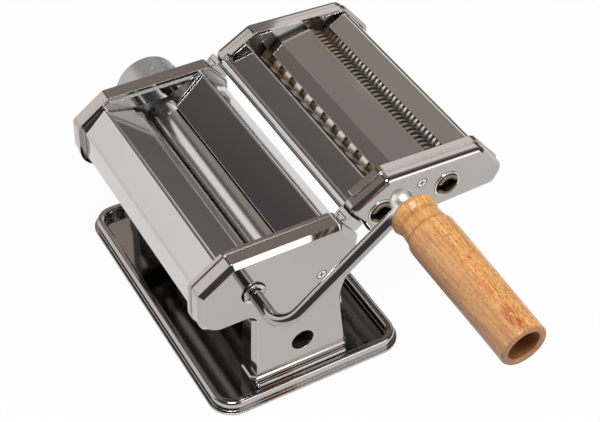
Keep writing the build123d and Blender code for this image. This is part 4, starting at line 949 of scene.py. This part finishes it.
# %% Moulded plastic
PLASTIC_EDGE = 0.0005
CREAM = (0.72, 0.69, 0.60)
BLACK = (0.03, 0.03, 0.032)
PLASTIC_SHADE = 0.75
PLASTIC_LIGHT = 0.8
PLASTIC_WORN = 0.5
PLASTIC_DULL = 0.45
PLASTIC_GRAIN = 0.15
PLASTIC_SHINE = 0.1


def moulded(name, tint):
    made = finish_for(name)
    place = made.place()
    grain = made.noise(place, scale=1300.0)
    cloud = made.noise(place, scale=40.0, detail=3.0)
    rounded = made.rounded_edges(PLASTIC_EDGE)
    edge_mask = made.on_edges(rounded)
    skin = made.blend(cloud, tint, darker(tint, PLASTIC_SHADE))
    return made.surface(
        {
            "Base Color": made.blend(edge_mask * PLASTIC_WORN, skin, lighter(tint, PLASTIC_LIGHT)),
            "Roughness": PLASTIC_DULL + grain * PLASTIC_GRAIN - edge_mask * PLASTIC_SHINE,
            "Normal": made.bump(grain, rounded, distance=0.00008, strength=0.5),
        }
    )


cream_plastic = moulded("cream_plastic", CREAM)
wear(cream_plastic, "front_scraper", "rear_scraper", "wide_combs", "fine_combs")
wear(moulded("black_plastic", BLACK), "near_carriage_block", "far_carriage_block")

# %% [markdown]
# The dial carries raised numbers round its rim, one for each thickness. Each is a Blender text
# turned into a mesh. Its flat x is then wrapped round the rim as an angle, and its depth becomes
# height above the rim.

# %% Flat numbers
NUMBER_HEIGHT = 0.0085
NUMBER_BEVEL = 0.0001
NUMBER_RAISED = 0.0005
NUMBER_SUNK = 0.0003


def flat_number(digit):
    """The mesh of a digit that lies flat, with half of its depth on each side."""
    text = bpy.data.curves.new("dial_text", "FONT")
    text.body = digit
    text.align_x = "CENTER"
    text.align_y = "CENTER"
    text.size = NUMBER_HEIGHT
    text.extrude = (NUMBER_RAISED + NUMBER_SUNK) / 2
    text.bevel_depth = NUMBER_BEVEL
    flat = put_in_scene("dial_text", text)
    bpy.context.view_layer.update()
    ready = flat.evaluated_get(bpy.context.evaluated_depsgraph_get())
    mesh = bpy.data.meshes.new_from_object(ready)
    bpy.data.objects.remove(flat)
    return mesh


# %% [markdown]
# The numbers stand on the rim a little way in from the dial's far face, one click apart. Each is
# sunk slightly into the rim, so that no gap shows under its flat back.

# %% Dial numbers
SETTINGS = 7
STEP_ANGLE = math.radians(25.0)
FIRST_NUMBER = math.radians(-25.0)
NUMBER_FROM_FACE = 0.0105

dial_low, dial_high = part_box("regulator_knob")
dial_middle = middle_of("regulator_knob")
dial_radius = (dial_high.x - dial_low.x) / 2
number_y = dial_high.y - NUMBER_FROM_FACE


def raised_number(index):
    mesh = flat_number(str(index + 1))
    middle = FIRST_NUMBER + index * STEP_ANGLE
    for vertex in mesh.vertices:
        across, along, depth = vertex.co
        radius = dial_radius + depth + (NUMBER_RAISED - NUMBER_SUNK) / 2
        angle = middle + across / dial_radius
        x = dial_middle.x + radius * math.sin(angle)
        z = dial_middle.z + radius * math.cos(angle)
        vertex.co = (x, number_y + along, z)
    mesh.materials.append(dial_metal)
    number = put_in_scene("dial_number_" + str(index + 1), mesh)
    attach(number, "regulator")
    return number


numbers = [raised_number(index) for index in range(SETTINGS)]
print(len(numbers), "numbers round a dial of radius", round(dial_radius * MM_PER_M, 1), "mm")

# %% [markdown]
# Small pieces finish the holes and joints of the sheets. All are turned shapes, so one function
# spins a profile of radius and distance round an axis. Blender's Screw modifier could do it too,
# but here each profile closes on itself and the mesh comes out ready.

# %% Turned shapes
ALONG_X = Vector((1, 0, 0))
ALONG_Y = Vector((0, 1, 0))


def turned(name, profile, origin, axis, across, steps):
    """A mesh spun from (radius, distance) points round an axis."""
    side = axis.cross(across)
    points = []
    faces = []
    rows = len(profile)
    for step in range(steps):
        angle = 2 * math.pi * step / steps
        outwards = across * math.cos(angle) + side * math.sin(angle)
        points += [origin + axis * distance + outwards * radius for radius, distance in profile]
        for row in range(rows):
            ahead = (step + 1) % steps * rows
            here = step * rows
            after = (row + 1) % rows
            faces.append((here + row, here + after, ahead + after, ahead + row))
    mesh = bpy.data.meshes.new(name)
    mesh.from_pydata(points, [], faces)
    mesh.validate()
    mesh.shade_smooth()
    return put_in_scene(name, mesh)


# %% [markdown]
# An eyelet lines each crank hole of the cutter. Its lip is rolled over the face of the cap, and its
# tube reaches a little way in, so the profile is a thin ring with a rounded front.

# %% Eyelets
EYELET_HOLES = {"wide_eyelet": "wide_driving_cutter", "fine_eyelet": "fine_driving_cutter"}
EYELET_TINT = (0.72, 0.68, 0.61)
EYELET_STEPS = 64
EYELET_PROFILE = [
    (0.00725, 0.0022),
    (0.00725, -0.0001),
    (0.00745, -0.0005),
    (0.0080, -0.0007),
    (0.0086, -0.0005),
    (0.0088, 0.0),
    (0.0077, 0.0),
    (0.0076, 0.0022),
]
eyelet_metal = satin_metal("nickel_eyelet", EYELET_TINT, dull=0.16, grain_scale=1400.0)
cap_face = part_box("cutter_near_cap")[0].y
for name, roller in EYELET_HOLES.items():
    middle = middle_of(roller)
    place = Vector((middle.x, cap_face, middle.z))
    eyelet = turned(name, EYELET_PROFILE, place, ALONG_Y, ALONG_X, EYELET_STEPS)
    eyelet.data.materials.append(eyelet_metal)
    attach(eyelet, "cutter")
    print(name, "round a hole at", [round(value, 4) for value in place])

# %% [markdown]
# Behind the clamp hole of each leg stands a black sleeve of painted shade, put there so that the
# hole looks black. It starts just inside the leg's sheet and reaches inwards, so the far one is the
# near one mirrored.

# %% Clamp sleeves of painted shade
CLAMP_X = -0.005
CLAMP_Z = 0.032
SLEEVE_START = 0.0867
# Near-black colour of the painted-shade sleeves.
SLEEVE_SHADE_BLACK = (0.035, 0.032, 0.03)
SLEEVE_STEPS = 48
SLEEVE_PROFILE = [
    (0.0079, 0.0),
    (0.0079, 0.0165),
    (0.0082, 0.0168),
    (0.0087, 0.0168),
    (0.0090, 0.0165),
    (0.0090, 0.0),
]
# The sleeves are painted shade that makes the clamp holes look black.
shade_sleeve_metal = satin_metal("shade_black_sleeve", SLEEVE_SHADE_BLACK, dull=0.5, grain_scale=1100.0)
for name, side in (("near_clamp_sleeve", -1), ("far_clamp_sleeve", 1)):
    place = Vector((CLAMP_X, side * SLEEVE_START, CLAMP_Z))
    sleeve = turned(name, SLEEVE_PROFILE, place, ALONG_Y * -side, ALONG_X, SLEEVE_STEPS)
    sleeve.data.materials.append(shade_sleeve_metal)
    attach(sleeve, "frame")
    print(name, "behind a hole at", [round(value, 4) for value in place])

# %% [markdown]
# A rolled seam closes the slit between each foot and the tray. It is a straight bead with round
# ends, so it is turned as well, round an axis along X.

# %% Foot seams
SEAM_R = 0.0016
SEAM_X = (-0.0372, 0.0257)
SEAM_Y = 0.0899
SEAM_Z = 0.0088
SEAM_STEPS = 24
ROUND_STEPS = 6


def seam_profile(length):
    """A straight bead with round ends."""
    quarter = [math.pi / 2 * step / ROUND_STEPS for step in range(ROUND_STEPS + 1)]
    start = [(SEAM_R * math.sin(turn), SEAM_R * (1 - math.cos(turn))) for turn in quarter]
    end = [(radius, length - distance) for radius, distance in reversed(start)]
    return start + end


bead = seam_profile(SEAM_X[1] - SEAM_X[0])
for name, y in (("near_foot_seam", -SEAM_Y), ("far_foot_seam", SEAM_Y)):
    start = Vector((SEAM_X[0], y, SEAM_Z))
    seam = turned(name, bead, start, ALONG_X, ALONG_Y, SEAM_STEPS)
    seam.data.materials.append(shaded_side_sheet)
    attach(seam, "frame")
    print(name, "of radius", round(SEAM_R * MM_PER_M, 1), "mm")
